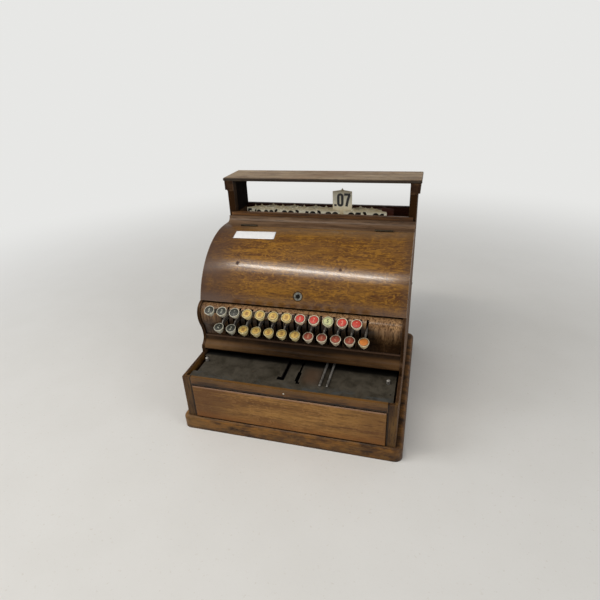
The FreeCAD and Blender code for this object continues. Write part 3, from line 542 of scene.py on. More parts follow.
drawerOak = {
    "grain": "X", "dark": (0.170, 0.074, 0.019), "light": (0.350, 0.176, 0.046),
    "patch": (0.410, 0.222, 0.060), "pore": (0.070, 0.032, 0.012), "wornColour": (0.36, 0.24, 0.15),
    "turn": (0, 0.22, 0), "grainScale": 70.0, "patchScale": 7.0,
    "flake": 0.40, "flakeScale": 170.0, "flakeColour": (0.44, 0.225, 0.070),
    "roughness": 0.42, "wear": 0.12, "coat": 0.25, "coatIor": 1.6, "coatRoughness": 0.24,
    "specular": 0.06,
    "dirtAndPaintedLight": (("absX", 0.085, 0.176, 0.0, 0.60, (0.100, 0.036, 0.010)),
             ("X", -0.160, -0.060, 0.45, 0.0, (0.110, 0.046, 0.016)),
             ("Z", 0.034, 0.052, 0.6, 0.0, (0.200, 0.066, 0.010)),
             # painted highlight: a pale pink line along the rounded top edge
             ("Z", 0.1022, 0.1042, 0.0, 0.7, (0.280, 0.165, 0.110)),
             # painted shadow: near black on the top of the lip, in the gap under the rail
             ("topLip", 0.0, 0.8, 0.0, 0.99, (0.004, 0.002, 0.0015))),
}
fasciaWood = {
    "grain": "Z", "dark": (0.110, 0.052, 0.020), "light": (0.370, 0.215, 0.100),
    "patch": (0.230, 0.120, 0.052), "pore": (0.014, 0.007, 0.004), "wornColour": (0.26, 0.15, 0.08),
    "grainScale": 230.0, "curl": 0.05, "roughness": 0.34, "edge": 0.2, "specular": 0.06,
    "coat": 0.30, "coatIor": 1.6,
    "dirtAndPaintedLight": (("X", -0.165, -0.140, 0.40, 0.0, (0.100, 0.050, 0.022)),
             # darker towards the bottom
             ("Z", 0.172, 0.222, 0.985, 0.0, (0.022, 0.008, 0.0015)),
             # painted shade: near black on the fascia behind the keys
             ("keyField", 0.0, 1.0, 0.0, 0.93, (0.006, 0.003, 0.0015))),
}
mouldingWood = dict(
    caseOak, grain="X", dark=(0.055, 0.022, 0.006), light=(0.185, 0.080, 0.023),
    patch=(0.070, 0.030, 0.011), roughness=0.40, edge=0.1)
# a darker copy of mouldingWood: painted shade on the rear rail behind the tablets
rearWood = dict(
    mouldingWood, dark=(0.024, 0.007, 0.004), light=(0.090, 0.026, 0.012),
    patch=(0.070, 0.020, 0.009))
# a darker copy of mouldingWood: painted shade on the roll, which faces down to the deck
rollWood = dict(
    mouldingWood, dark=(0.014, 0.006, 0.0015), light=(0.044, 0.020, 0.006),
    patch=(0.070, 0.033, 0.010), patchScale=10.0, grainScale=120.0,
    edge=0.0, specular=0.05, coat=0.10, coatRoughness=0.3,
    # painted highlights on the lit left and right parts of the roll
    dirtAndPaintedLight=(("X", -0.190, -0.010, 0.85, 0.0, (0.165, 0.088, 0.036)),
          ("X", 0.040, 0.130, 0.0, 0.50, (0.160, 0.080, 0.030)),
          # painted shade in the cove under the bead, a painted highlight along the bead, painted
          # shade on the roll's underside
          ("Z", 0.1450, 0.1515, 0.0, 0.92, (0.010, 0.004, 0.001)),
          ("Z", 0.1562, 0.1580, 0.0, 0.70, (0.150, 0.090, 0.060)),
          ("Z", 0.1326, 0.1352, 0.90, 0.0, (0.010, 0.004, 0.002))))
coveWood = dict(
    mouldingWood, dark=(0.088, 0.048, 0.025), light=(0.190, 0.118, 0.067),
    patch=(0.110, 0.060, 0.031))
capitalWood = dict(
    caseOak, grain="Y", dark=(0.012, 0.005, 0.002), light=(0.036, 0.016, 0.006), coat=0.0,
    specular=0.08)
topWood = dict(
    caseOak, grain="X", dark=(0.205, 0.140, 0.084), light=(0.395, 0.295, 0.188),
    patch=(0.240, 0.150, 0.086), roughness=0.5, coat=0.05, edge=0.15,
    # painted shade: near black on the front edge, darker on the ends and the back edge
    sides=(("Y", -0.45, -0.85, (0.012, 0.007, 0.004), 0.95),
           ("X", 0.5, 0.9, (0.060, 0.034, 0.018), 0.8),
           ("X", -0.5, -0.9, (0.060, 0.034, 0.018), 0.8),
           ("Y", 0.45, 0.85, (0.060, 0.034, 0.018), 0.8)))
innerWood = dict(
    caseOak, grain="X", dark=(0.16, 0.085, 0.036), light=(0.29, 0.165, 0.078),
    patch=(0.20, 0.115, 0.052), pore=(0.07, 0.036, 0.017), roughness=0.62, coat=0.0)
dustWood = dict(
    innerWood, dark=(0.030, 0.020, 0.013), light=(0.070, 0.048, 0.032),
    patch=(0.045, 0.030, 0.020),
    # painted shade: near black under the deck
    dirtAndPaintedLight=(("Y", -0.108, -0.100, 0.99, 0.0, (0.003, 0.002, 0.0015)),))

for woodName, wood, names in (
        ("lidOak", lidOak, ["lid"]),
        ("coveWood", coveWood, ["cove_moulding"]),
        ("sideOak", sideOak, ["side_panel_left", "side_panel_right"]),
        ("caseOak", caseOak, ["back_panel"]),
        ("stileOak", stileOak, ["front_stiles"]),
        ("railOak", railOak, ["drawer_rail"]),
        ("baseOak", baseOak, ["base"]),
        ("drawerOak", drawerOak, ["drawer_front"]),
        ("fasciaWood", fasciaWood, ["key_fascia"]),
        ("rollWood", rollWood, ["lower_rail"]),
        ("mouldingWood", mouldingWood, ["indicator_sill"]),
        ("rearWood", rearWood, ["rear_rail"]),
        ("capitalWood", capitalWood, ["post_capitals"]),
        ("topWood", topWood, ["top_board"]),
        ("innerWood", innerWood,
         ["drawer_walls", "drawer_bottom", "till_dividers", "drawer_runners"]),
        ("dustWood", dustWood, ["dust_board", "tail_rest_bar"])):
    dress(names, makeWood(woodName, wood))
print("wood ready")


# Metal and paint.

metalDefaults = {
    "blotchScale": 60.0, "drawn": (0.15, 1.0, 1.0), "scratchScale": 700.0, "spots": 0.3,
    "scratch": 0.3, "edge": 0.4, "edgeReach": 0.0012, "grimeAndShade": 0.6, "grimeAndShadeReach": 0.006,
    "grimeAndShadeColour": (0.012, 0.009, 0.007), "specular": 0.35, "bump": 0.12, "bumpDepth": 0.0002,
}


def makeMetal(name, metal):
    # Two tones in blotches with spots of rust or wear, and fine scratches drawn along one axis.
    metal = {**metalDefaults, **metal}
    material, tree, shader = newMaterial(name)
    blotch = noise(tree, objectSpace(tree), metal["blotchScale"], 5.0, 0.65)
    scratches = noise(tree, objectSpace(tree, metal["drawn"]), metal["scratchScale"], 3.0, 0.6)
    tone = remap(tree, blotch, 0.35, 0.65)
    colour = blendColours(tree, tone, metal["dark"], metal["light"])
    spots = remap(tree, blotch, 0.60, 0.68, 0.0, metal["spots"])
    colour = blendColours(tree, spots, colour, metal["spotColour"])
    bright = remap(tree, scratches, 0.62, 0.72, 0.0, metal["scratch"])
    colour = blendColours(tree, bright, colour, metal["light"])
    edges = fallOff(tree, enclosed(tree, metal["edgeReach"], True), 0.5, 0.9, metal["edge"])
    colour = blendColours(tree, edges, colour, metal["light"])
    # dirt with painted shade: darker in corners and where parts meet
    grimeAndShade = fallOff(tree, enclosed(tree, metal["grimeAndShadeReach"]), 0.35, 0.9, metal["grimeAndShade"])
    colour = blendColours(tree, grimeAndShade, colour, metal["grimeAndShadeColour"])
    tree.links.new(colour, shader.inputs["Base Color"])
    rough = metal["roughness"]
    gloss = remap(tree, blotch, 0.3, 0.7, rough - 0.08, rough + 0.14)
    tree.links.new(gloss, shader.inputs["Roughness"])
    shader.inputs["Metallic"].default_value = metal["metallic"]
    shader.inputs["Specular IOR Level"].default_value = metal["specular"]
    bump(tree, shader, scratches, metal["bump"], metal["bumpDepth"])
    return material


brightSteel = {
    "dark": (0.19, 0.175, 0.155), "light": (0.38, 0.36, 0.33), "spotColour": (0.16, 0.11, 0.07),
    "roughness": 0.32, "metallic": 0.55, "drawn": (1.0, 0.08, 1.0), "grimeAndShade": 0.45,
}
leverSteel = {
    "dark": (0.10, 0.095, 0.085), "light": (0.26, 0.245, 0.22), "spotColour": (0.10, 0.06, 0.035),
    "roughness": 0.38, "metallic": 0.6, "drawn": (1.0, 0.1, 0.4),
}
innerSteel = dict(leverSteel, dark=(0.14, 0.13, 0.12), light=(0.28, 0.27, 0.25))
ironPaint = {
    "dark": (0.018, 0.018, 0.018), "light": (0.045, 0.043, 0.040),
    "spotColour": (0.08, 0.045, 0.03), "roughness": 0.55, "metallic": 0.3,
}
hingeBrass = {
    "dark": (0.030, 0.023, 0.015), "light": (0.070, 0.055, 0.036),
    "spotColour": (0.03, 0.02, 0.015), "roughness": 0.45, "metallic": 0.8,
}
lockMetal = {
    "dark": (0.13, 0.13, 0.11), "light": (0.32, 0.32, 0.28), "spotColour": (0.12, 0.10, 0.08),
    "roughness": 0.34, "metallic": 0.6, "blotchScale": 260.0,
}
plugMetal = dict(lockMetal, dark=(0.006, 0.005, 0.004), light=(0.018, 0.016, 0.013), roughness=0.5)
levers = [name for name in nodes if name.startswith("key_") and name[4:].isdigit()]

for metalName, metal, names in (
        ("brightSteel", brightSteel, ["deck_studs", "deck_rods"]),
        ("leverSteel", leverSteel, levers),
        ("innerSteel", innerSteel, ["key_shaft", "tablet_guides"]),
        ("ironPaint", ironPaint, ["mechanism_brackets"]),
        ("hingeBrass", hingeBrass, ["hinge_fixed_leaves", "hinge_lid_leaves"]),
        ("lockMetal", lockMetal, ["lid_lock"]),
        ("plugMetal", plugMetal, ["lock_plug"])):
    dress(names, makeMetal(metalName, metal))


deckPaint = {
    "black": (0.026, 0.022, 0.015), "grey": (0.066, 0.056, 0.041), "rust": (0.085, 0.050, 0.030),
    "blue": (0.050, 0.058, 0.062), "bareEdge": (0.13, 0.11, 0.085), "holeShade": (0.003, 0.002, 0.002),
    "grimeAndShadeColour": (0.006, 0.005, 0.004), "rearShadowColour": (0.002, 0.0015, 0.001),
    "roughness": 0.42, "specular": 0.3, "frontFade": (-0.196, -0.165),
    "rubbed": ((0.024, 0.056), (-0.170, -0.120)), "rearShadowFade": (-0.121, -0.113),
    "nailHole": (0.1911, -0.1715, 0.120), "nailFade": (0.0014, 0.0020),
    "slotMargins": ((-0.0178, -0.0098, -0.1700, -0.1040), (-0.0250, -0.0120, -0.1706, -0.1602)),
}


def makeDeckPaint(name, paint):
    # Worn dark paint: cloudy black and grey, rubbed brown where coins slid, bluish near the front,
    # and painted shade: black round the slots, in the nail hole and behind the rail.
    material, tree, shader = newMaterial(name)
    cloud = noise(tree, objectSpace(tree), 36.0, 8.0, 0.68, 0.5)
    fine = noise(tree, objectSpace(tree), 260.0, 4.0, 0.65)
    colour = blendColours(tree, remap(tree, cloud, 0.30, 0.66), paint["black"], paint["grey"])
    across, deep = paint["rubbed"]
    rub = times(tree, band(tree, "X", *across, 0.012), band(tree, "Y", *deep, 0.014))
    colour = blendColours(tree, times(tree, rub, 0.75), colour, paint["rust"])
    nearFront = fallOff(tree, objectAxis(tree, "Y"), *paint["frontFade"], 0.75)
    dabs = noise(tree, objectSpace(tree, (0.6, 1.0, 1.0)), 48.0, 4.0, 0.6, 0.8)
    blueness = times(tree, nearFront, remap(tree, dabs, 0.50, 0.64))
    colour = blendColours(tree, blueness, colour, paint["blue"])
    specks = remap(tree, fine, 0.62, 0.72, 0.0, 0.6)
    colour = blendColours(tree, specks, colour, paint["rust"])
    edges = fallOff(tree, enclosed(tree, 0.0015, True), 0.5, 0.92, 0.5)
    colour = blendColours(tree, edges, colour, paint["bareEdge"])
    # painted shade: black margins round the slots, as dark as the shaded holes in them
    for left, right, front, rear in paint["slotMargins"]:
        margin = times(tree, band(tree, "X", left, right, 0.0003),
                       band(tree, "Y", front, rear, 0.0003))
        colour = blendColours(tree, margin, colour, paint["holeShade"])
    # painted shade: black in the nail hole
    nail = fallOff(tree, distanceFrom(tree, paint["nailHole"]), *paint["nailFade"])
    colour = blendColours(tree, nail, colour, paint["holeShade"])
    # dirt with painted shade: darker in corners
    grimeAndShade = fallOff(tree, enclosed(tree, 0.004), 0.4, 0.9, 0.7)
    colour = blendColours(tree, grimeAndShade, colour, paint["grimeAndShadeColour"])
    # painted shadow: near black on the plate behind the lower rail
    rear = remap(tree, objectAxis(tree, "Y"), *paint["rearShadowFade"], 0.0, 0.96)
    colour = blendColours(tree, rear, colour, paint["rearShadowColour"])
    tree.links.new(colour, shader.inputs["Base Color"])
    gloss = remap(tree, cloud, 0.3, 0.7, paint["roughness"], paint["roughness"] + 0.2)
    tree.links.new(gloss, shader.inputs["Roughness"])
    shader.inputs["Specular IOR Level"].default_value = paint["specular"]
    bump(tree, shader, fine, 0.3, 0.0003)
    return material


dress(["deck_plate"], makeDeckPaint("deckPaint", deckPaint))
print("metal and paint ready")


# Mesh helpers: surfaces come as whole arrays of points, in metres.

def addPiece(name, points, faces, body, material, smooth=True):
    mesh = bpy.data.meshes.new(name)
    mesh.from_pydata([tuple(p) for p in np.asarray(points).tolist()], [], faces)
    mesh.materials.append(material)
    mesh.polygons.foreach_set("use_smooth", [smooth] * len(mesh.polygons))
    mesh.update()
    piece = bpy.data.objects.new(name, mesh)
    bpy.context.collection.objects.link(piece)
    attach(piece, body)
    return piece


def revolve(profile, count=40):
    # Turns a profile of (radius, height) about Z, from its lower pole to its upper pole.
    rings = np.array(profile[1:-1])
    angles = np.linspace(0.0, 2.0 * np.pi, count, endpoint=False)
    x = rings[:, :1] * np.cos(angles)
    y = rings[:, :1] * np.sin(angles)
    z = np.repeat(rings[:, 1:], count, axis=1)
    points = np.stack((x, y, z), axis=2).reshape(-1, 3)
    low, high = len(points), len(points) + 1
    points = np.vstack((points, [(0, 0, profile[0][1]), (0, 0, profile[-1][1])]))
    faces = []
    for row in range(len(rings) - 1):
        for k in range(count):
            here, after = row * count + k, row * count + (k + 1) % count
            faces.append((here, after, after + count, here + count))
    last = (len(rings) - 1) * count
    for k in range(count):
        after = (k + 1) % count
        faces.append((low, after, k))
        faces.append((last + k, last + after, high))
    return points, faces


def leaned(points, spot, tilt):
    # Local Z becomes the outward line of a face that leans to the clerk by tilt degrees.
    angle = math.radians(tilt)
    c, s = math.cos(angle), math.sin(angle)
    turn = np.array([(1, 0, 0), (0, c, s), (0, -s, c)])
    return points @ turn + np.array(spot)


# Figures: each digit is a few strokes of one width, in a box of height 1.

figureStyle = {
    "stroke": 0.155, "gap": 0.055, "width": 0.46, "narrow": {"1": 0.28, ".": 0.16},
    "lift": 0.00006, "layerStep": 0.000004,
}


def arc(cx, cy, rx, ry, start, end, count=14):
    # points round an ellipse, from one angle to another
    angles = np.radians(np.linspace(start, end, count))
    return np.stack((cx + rx * np.cos(angles), cy + ry * np.sin(angles)), axis=1)


def bowl(low, high, left=0.08, right=0.38):
    # A closed loop with straight sides and round ends.
    middle, reach = (left + right) / 2, (right - left) / 2
    top = arc(middle, high - reach, reach, reach, 0, 180)
    foot = arc(middle, low + reach, reach, reach, 180, 360)
    return np.vstack((top, foot)), True


def line(*spots):
    return np.array(spots, dtype=float), False


def joined(*parts):
    return np.vstack(parts), False


hook = joined(arc(0.23, 0.22, 0.15, 0.15, 0, -180), [(0.08, 0.28)])[0]  # the foot of 3, 5 and 9
crown = arc(0.23, 0.78, 0.15, 0.15, 180, 0)  # the top of 2, 3 and 6
digitStrokes = {
    "0": [bowl(0.07, 0.93)],
    "1": [line((0.20, 0.0), (0.20, 1.0)), line((0.17, 0.93), (0.02, 0.80))],
    "2": [joined([(0.08, 0.68)], crown, [(0.38, 0.66), (0.30, 0.44), (0.14, 0.22), (0.08, 0.06)]),
          line((0.0, 0.065), (0.45, 0.065))],
    "3": [joined([(0.08, 0.72)], crown, arc(0.23, 0.66, 0.15, 0.13, 0, -80)),
          joined(arc(0.23, 0.38, 0.15, 0.15, 80, 0), hook)],
    "4": [line((0.30, 1.0), (0.05, 0.28)), line((0.0, 0.25), (0.46, 0.25)),
          line((0.33, 0.0), (0.33, 1.0))],
    "5": [line((0.05, 0.935), (0.43, 0.935)), line((0.11, 0.95), (0.10, 0.48)),
          joined([(0.10, 0.50)], arc(0.23, 0.44, 0.15, 0.14, 130, 0), hook)],
    "6": [bowl(0.07, 0.58), joined([(0.08, 0.34), (0.08, 0.74)], crown, [(0.38, 0.72)])],
    "7": [line((0.0, 0.93), (0.46, 0.93)), line((0.40, 0.92), (0.27, 0.50), (0.17, 0.0))],
    "8": [bowl(0.07, 0.54), bowl(0.50, 0.93, 0.10, 0.36)],
    "9": [bowl(0.42, 0.93), joined([(0.38, 0.66), (0.38, 0.26)], hook)],
    ".": [line((0.08, 0.0), (0.08, 0.16))],
}


def ribbon(path, closed, half):
    # A flat bar along a path: two edges, each with a top at height 0 and a foot at height -1.
    # Each edge is the path plus or minus half the width, square to the mean of the two courses.
    ahead = np.roll(path, -1, axis=0) - path
    behind = path - np.roll(path, 1, axis=0)
    if not closed:
        ahead[-1] = behind[-1]
        behind[0] = ahead[0]
    course = (ahead / np.linalg.norm(ahead, axis=1, keepdims=True)
              + behind / np.linalg.norm(behind, axis=1, keepdims=True))
    course /= np.linalg.norm(course, axis=1, keepdims=True)
    across = np.stack((-course[:, 1], course[:, 0]), axis=1) * half
    corners = []
    for edge, height in ((-1, 0.0), (1, 0.0), (1, -1.0), (-1, -1.0)):
        spots = path + edge * across
        corners.append(np.column_stack((spots, np.full(len(path), height))))
    points = np.stack(corners, axis=1).reshape(-1, 3)
    faces = []
    count = len(path)
    for k in range(count if closed else count - 1):
        here, after = 4 * k, 4 * ((k + 1) % count)
        for side in range(4):
            other = (side + 1) % 4
            faces.append((here + other, here + side, after + side, after + other))
    if not closed:
        faces.append((0, 1, 2, 3))
        end = 4 * (count - 1)
        faces.append((end + 3, end + 2, end + 1, end))
    return points, faces


def figure(text, height, squeeze, weight=1.0):
    # The text's strokes, centred on x = 0 and standing on y = 0, each a hair above the last.
    style = figureStyle
    widths = [style["narrow"].get(sign, style["width"]) for sign in text]
    start = -(sum(widths) + style["gap"] * (len(text) - 1)) / 2
    points, faces, used, layer = [], [], 0, 0
    for sign, width in zip(text, widths):
        for path, closed in digitStrokes[sign]:
            bar, quads = ribbon(path + np.array((start, 0.0)), closed, style["stroke"] * weight / 2)
            top = bar[:, 2] > -0.5
            bar = bar * np.array((height * squeeze, height, 0.0))
            bar[:, 2] = np.where(top, style["lift"] + layer * style["layerStep"], 0.0)
            faces += [tuple(used + k for k in quad) for quad in quads]
            points.append(bar)
            used += len(bar)
            layer += 1
        start += width + style["gap"]
    return np.vstack(points), faces


# Keys: a tapered cup with a rolled ring, a domed face and its figure.

keyStyle = {
    "upperSpot": (-0.1562, 0.2504), "upperTilt": 30.0,
    "lowerSpot": (-0.1526, 0.2130), "lowerTilt": 22.0,
    "faceRadius": 0.0084, "faceRise": 0.00012, "dome": 0.0006, "domeRings": 6,
    "figureHeight": 0.0078, "oneDigit": 0.85, "twoDigits": 0.72,
}
cupProfile = np.array([
    (0.0, -13.4), (4.7, -13.4), (5.3, -13.1), (5.9, -12.2), (6.7, -10.6), (7.5, -8.6),
    (8.2, -6.4), (8.7, -4.2), (9.0, -2.2), (9.1, -1.5), (9.5, -1.2), (9.7, -0.7), (9.7, -0.1),
    (9.5, 0.4), (9.1, 0.6), (8.7, 0.5), (8.45, 0.2), (8.4, 0.08), (0.0, 0.08)]) / 1000.0
keyGroups = {
    "dark": {"keys": range(1, 6), "face": (0.034, 0.036, 0.027),
             "ink": (0.40, 0.41, 0.33), "cup": (0.60, 0.58, 0.46)},
    "yellow": {"keys": range(6, 15), "face": (0.66, 0.44, 0.105),
               "ink": (0.30, 0.120, 0.025), "cup": (0.76, 0.64, 0.32)},
    "red": {"keys": (15, 17, 21, 23), "face": (0.60, 0.045, 0.025),
            "ink": (0.75, 0.36, 0.25), "cup": (0.80, 0.68, 0.50)},
    # the lower row's reds, darker than the upper row's
    "lowerRed": {"keys": (16, 18, 20, 22), "face": (0.33, 0.060, 0.028),
               "ink": (0.55, 0.25, 0.15), "cup": (0.74, 0.62, 0.45)},
    "cream": {"keys": (19,), "face": (0.58, 0.60, 0.28),
              "ink": (0.02, 0.025, 0.01), "cup": (0.76, 0.74, 0.46)},
    "orange": {"keys": (24,), "face": (0.70, 0.22, 0.030),
               "ink": (0.80, 0.55, 0.25), "cup": (0.78, 0.62, 0.36)},
}
# fade is the share of the colour that is left where it has faded most
enamelDirtAndShade = {"pits": (0.06, 0.035, 0.018), "corners": (0.025, 0.015, 0.008), "reach": 0.0025}
coatRoughness = 0.12
cupFinish = {"roughness": 0.30, "coat": 0.4, "fade": 0.7, "dirtAndPaintedLight": 0.3}
faceFinish = {"roughness": 0.35, "coat": 0.35, "fade": 0.75, "dirtAndPaintedLight": 0.25}
inkFinish = {"roughness": 0.45, "coat": 0.2, "fade": 0.8, "dirtAndPaintedLight": 0.2}


def makeEnamel(name, base, finish):
    # One colour that has faded in clouds, with brown dirt in its fine pits, and dirt with painted
    # shade in its corners.
    material, tree, shader = newMaterial(name)
    cloud = noise(tree, objectSpace(tree), 120.0, 4.0, 0.6)
    pits = noise(tree, objectSpace(tree), 900.0, 3.0, 0.6)
    dull = tuple(channel * finish["fade"] for channel in base)
    colour = blendColours(tree, remap(tree, cloud, 0.35, 0.65), dull, base)
    dirtAndPaintedLight = remap(tree, pits, 0.58, 0.70, 0.0, finish["dirtAndPaintedLight"])
    colour = blendColours(tree, dirtAndPaintedLight, colour, enamelDirtAndShade["pits"])
    # dirt with painted shade: darker in the corners
    grimeAndShade = fallOff(tree, enclosed(tree, enamelDirtAndShade["reach"]), 0.4, 0.9, 0.8)
    colour = blendColours(tree, grimeAndShade, colour, enamelDirtAndShade["corners"])
    tree.links.new(colour, shader.inputs["Base Color"])
    rough = finish["roughness"]
    tree.links.new(remap(tree, cloud, 0.3, 0.7, rough, rough + 0.15), shader.inputs["Roughness"])
    shader.inputs["Coat Weight"].default_value = finish["coat"]
    shader.inputs["Coat Roughness"].default_value = coatRoughness
    bump(tree, shader, pits, 0.1, 0.0002)
    return material


def keyText(number):
    # dollars from 5 down to 1, tens of cents from 90 to 10, cents from 9 to 1, and a blank
    if number <= 5:
        return str(6 - number)
    if number <= 14:
        return str(10 * (15 - number))
    return str(24 - number) if number < 24 else ""


def domeHeight(radius, style):
    # highest in the middle, falling with the square of the radius to the ring
    return style["faceRise"] + style["dome"] * (1.0 - (radius / style["faceRadius"]) ** 2)


def makeKeys(style, groups):
    for group, look in groups.items():
        cupPaint = makeEnamel("cup_" + group, look["cup"], cupFinish)
        facePaint = makeEnamel("face_" + group, look["face"], faceFinish)
        inkPaint = makeEnamel("ink_" + group, look["ink"], inkFinish)
        for number in look["keys"]:
            name = "key_%02d" % number
            low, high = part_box(name)
            row = "upper" if number % 2 else "lower"
            spot = ((low[0] + high[0]) / 2,) + style[row + "Spot"]
            tilt = style[row + "Tilt"]
            points, faces = revolve(cupProfile)
            placed = leaned(points, spot, tilt)
            cup = addPiece("keyCup_%02d" % number, placed, faces, name, cupPaint)
            radii = np.linspace(style["faceRadius"], 0.0, style["domeRings"])
            points, faces = revolve([(0.0, 0.0)] + [(r, domeHeight(r, style)) for r in radii])
            placed = leaned(points, spot, tilt)
            addPiece("keyFace_%02d" % number, placed, faces, name, facePaint)
            text = keyText(number)
            if not text:
                continue
            squeeze = style["oneDigit" if len(text) == 1 else "twoDigits"]
            points, faces = figure(text, style["figureHeight"], squeeze)
            points[:, 1] -= style["figureHeight"] / 2
            points[:, 2] += domeHeight(np.hypot(points[:, 0], points[:, 1]), style)
            placed = leaned(points, spot, tilt)
            addPiece("keyFigure_%02d" % number, placed, faces, name, inkPaint, False)


makeKeys(keyStyle, keyGroups)
print("keys ready")


# Tablets: aged cards with bold figures on both faces.

tabletStyle = {
    "pitch": 0.0127, "firstX": -0.1535, "shift": -0.002, "layers": (0.132, 0.140, 0.124, 0.148),
    "thickness": 0.0012, "shoulder": 0.3693, "raisedShoulder": 0.4102, "raisedNumber": 17,
    "moving": (7, 13, 22), "figureHeight": 0.028, "figureTop": 0.0048, "loweredTop": 0.0030,
    "threeSigns": 1.06, "fourSigns": 0.86, "weight": 1.2,
    "cream": (0.66, 0.62, 0.47), "pale": (0.76, 0.73, 0.60), "yellowed": (0.60, 0.47, 0.24),
    "stain": (0.34, 0.27, 0.15), "ink": (0.012, 0.011, 0.010),
    "flag": (0.075, 0.018, 0.010), "flagPlace": ((0.1155, 0.2), (0.146, 0.15)),
}
tabletFinish = {"roughness": 0.42, "coat": 0.2, "fade": 0.7, "dirtAndPaintedLight": 0.15}


def makeCard(name, style, shoulder):
    # Cream card, grubby along its upper edge and yellower lower down; the last card is a dark flag.
    material, tree, shader = newMaterial(name)
    cloud = noise(tree, objectSpace(tree), 70.0, 5.0, 0.62)
    specks = noise(tree, objectSpace(tree), 420.0, 4.0, 0.65)
    height = objectAxis(tree, "Z")
    colour = blendColours(tree, remap(tree, cloud, 0.35, 0.65), style["cream"], style["pale"])
    lower = fallOff(tree, height, shoulder - 0.045, shoulder - 0.020, 0.55)
    colour = blendColours(tree, lower, colour, style["yellowed"])
    upper = remap(tree, height, shoulder - 0.006, shoulder + 0.003, 0.0, 0.95)
    smear = remap(tree, noise(tree, objectSpace(tree), 150.0, 4.0, 0.6), 0.28, 0.52)
    colour = blendColours(tree, times(tree, upper, smear), colour, style["stain"])
    colour = blendColours(tree, remap(tree, specks, 0.60, 0.70, 0.0, 0.5), colour, style["stain"])
    across, deep = style["flagPlace"]
    flagHere = times(tree, band(tree, "X", *across, 0.0004), band(tree, "Y", *deep, 0.0004))
    colour = blendColours(tree, flagHere, colour, style["flag"])
    tree.links.new(colour, shader.inputs["Base Color"])
    tree.links.new(remap(tree, cloud, 0.3, 0.7, 0.35, 0.55), shader.inputs["Roughness"])
    bump(tree, shader, specks, 0.12, 0.0003)
    return material


def tabletText(number):
    # the key's amount, written out in dollars
    if number <= 5:
        return "%d.00" % (6 - number)
    if number <= 14:
        return ".%d" % (10 * (15 - number))
    return ".%02d" % (24 - number)


def makeTabletFigures(style):
    ink = makeEnamel("tabletInk", style["ink"], tabletFinish)
    for number in range(1, 24):
        raised = number == style["raisedNumber"]
        shoulder = style["raisedShoulder" if raised else "shoulder"]
        text = tabletText(number)
        squeeze = style["threeSigns" if len(text) == 3 else "fourSigns"]
        points, faces = figure(text, style["figureHeight"], squeeze, style["weight"])
        x = style["firstX"] + style["pitch"] * (number - 1) + style["shift"]
        y = style["layers"][(number - 1) % 4]
        foot = shoulder - style["figureTop" if raised else "loweredTop"] - style["figureHeight"]
        half = style["thickness"] / 2
        height = foot + points[:, 1]
        front = np.column_stack((x + points[:, 0], y - half - points[:, 2], height))
        back = np.column_stack((x - points[:, 0], y + half + points[:, 2], height))
        both = faces + [tuple(len(points) + k for k in face) for face in faces]
        body = "case"
        if raised:
            body = "tablet_raised"
        elif number in style["moving"]:
            body = "tablet_%02d" % number
        name = "tabletFigure_%02d" % number
        addPiece(name, np.vstack((front, back)), both, body, ink, False)


loweredNames = ["tablets_lowered"] + ["tablet_%02d" % number for number in tabletStyle["moving"]]
dress(loweredNames, makeCard("loweredCard", tabletStyle, tabletStyle["shoulder"]))
dress(["tablet_raised"], makeCard("raisedCard", tabletStyle, tabletStyle["raisedShoulder"]))
makeTabletFigures(tabletStyle)
print("tablets ready")


# Blank paper label on the lid, laid on its curve.

labelStyle = {
    "corners": ((-0.1630, 0.0060), (-0.0728, 0.0078), (-0.0757, 0.0349), (-0.1640, 0.0315)),
    "centre": (0.061, 0.188), "radius": 0.1591, "thickness": 0.00012, "rows": 9, "columns": 25,
    "curl": 0.0005, "curlFrom": 0.85, "curlBelow": 0.3, "colour": (0.80, 0.80, 0.81),
}
labelFinish = {"roughness": 0.6, "coat": 0.0, "fade": 0.95, "dirtAndPaintedLight": 0.03}


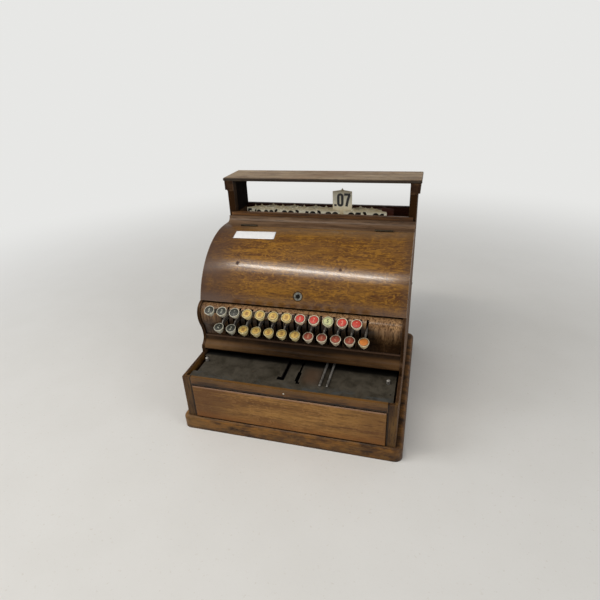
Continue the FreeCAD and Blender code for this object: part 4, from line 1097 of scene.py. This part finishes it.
def labelSurface(style):
    # Rows run up the lid's arc and columns across it, blended between the four corners, and each
    # point's height is that of the arc over it. One corner lifts, by the product of the
    # distances past curlFrom across and below curlBelow along. The second sheet lies a
    # thickness above the first, and a rim joins them.
    rows, columns = style["rows"], style["columns"]
    across, along = np.meshgrid(np.linspace(0, 1, columns), np.linspace(0, 1, rows))
    a, b, c, d = (np.array(corner) for corner in style["corners"])
    low = a + (b - a) * across[..., None]
    high = d + (c - d) * across[..., None]
    spots = low + (high - low) * along[..., None]
    past = np.clip(across - style["curlFrom"], 0, 1)
    below = np.clip(style["curlBelow"] - along, 0, 1)
    curl = style["curl"] * past * below / ((1 - style["curlFrom"]) * style["curlBelow"])
    sheets = []
    for lift in (0.0, style["thickness"]):
        radius = style["radius"] + lift + curl
        offset = spots[..., 1] - style["centre"][0]
        height = style["centre"][1] + np.sqrt(radius ** 2 - offset ** 2)
        sheets.append(np.stack((spots[..., 0], spots[..., 1], height), axis=2).reshape(-1, 3))
    points = np.vstack(sheets)
    size = rows * columns
    faces = []
    for row in range(rows - 1):
        for column in range(columns - 1):
            here = row * columns + column
            quad = (here, here + 1, here + columns + 1, here + columns)
            faces.append(tuple(reversed(quad)))
            faces.append(tuple(size + k for k in quad))
    last = (rows - 1) * columns
    rim = ([(k, k + 1) for k in range(columns - 1)]
           + [((k + 1) * columns - 1, (k + 2) * columns - 1) for k in range(rows - 1)]
           + [(last + k + 1, last + k) for k in range(columns - 1)]
           + [((k + 1) * columns, k * columns) for k in range(rows - 1)])
    faces += [(first, second, size + second, size + first) for first, second in rim]
    return points, faces


points, faces = labelSurface(labelStyle)
labelPaper = makeEnamel("labelPaper", labelStyle["colour"], labelFinish)
addPiece("lidLabel", points, faces, "lid", labelPaper)
print("label ready")


# Small fasteners: a bright pin in the rail, and a slotted screw in the right side.

fasteners = {
    "railPin": (0.0, -0.2044, 0.1156), "pinSides": 24,
    "sideScrew": (0.207, 0.193, 0.176), "screwSides": 32,
    "slotHalfWidth": 0.0007, "slotDepth": 0.0005,
}
pinProfile = np.array([
    (0.0, -0.4), (1.7, -0.4), (1.75, 0.0), (1.6, 0.5), (1.1, 0.95), (0.5, 1.15),
    (0.0, 1.2)]) / 1000.0
screwProfile = np.array([
    (0.0, -0.4), (3.0, -0.4), (3.1, 0.0), (2.9, 0.35), (2.2, 0.75), (1.2, 0.98),
    (0.0, 1.05)]) / 1000.0
pinSteel = dict(brightSteel, dark=(0.55, 0.50, 0.40), light=(0.80, 0.76, 0.66))
screwBrass = dict(hingeBrass, dark=(0.03, 0.025, 0.02), light=(0.10, 0.085, 0.06))


def makeFasteners(fasteners):
    points, faces = revolve(pinProfile, fasteners["pinSides"])
    placed = leaned(points, fasteners["railPin"], 90.0)
    addPiece("railPin", placed, faces, "case", makeMetal("pinMetal", pinSteel))
    points, faces = revolve(screwProfile, fasteners["screwSides"])
    # the slot: the band across the middle of the head is sunk
    sunk = (np.abs(points[:, 1]) < fasteners["slotHalfWidth"]) & (points[:, 2] > 0.0)
    points[sunk, 2] -= fasteners["slotDepth"]
    placed = points[:, [2, 0, 1]] + np.array(fasteners["sideScrew"])
    addPiece("sideScrew", placed, faces, "case", makeMetal("screwMetal", screwBrass), False)


makeFasteners(fasteners)
print("fasteners ready")
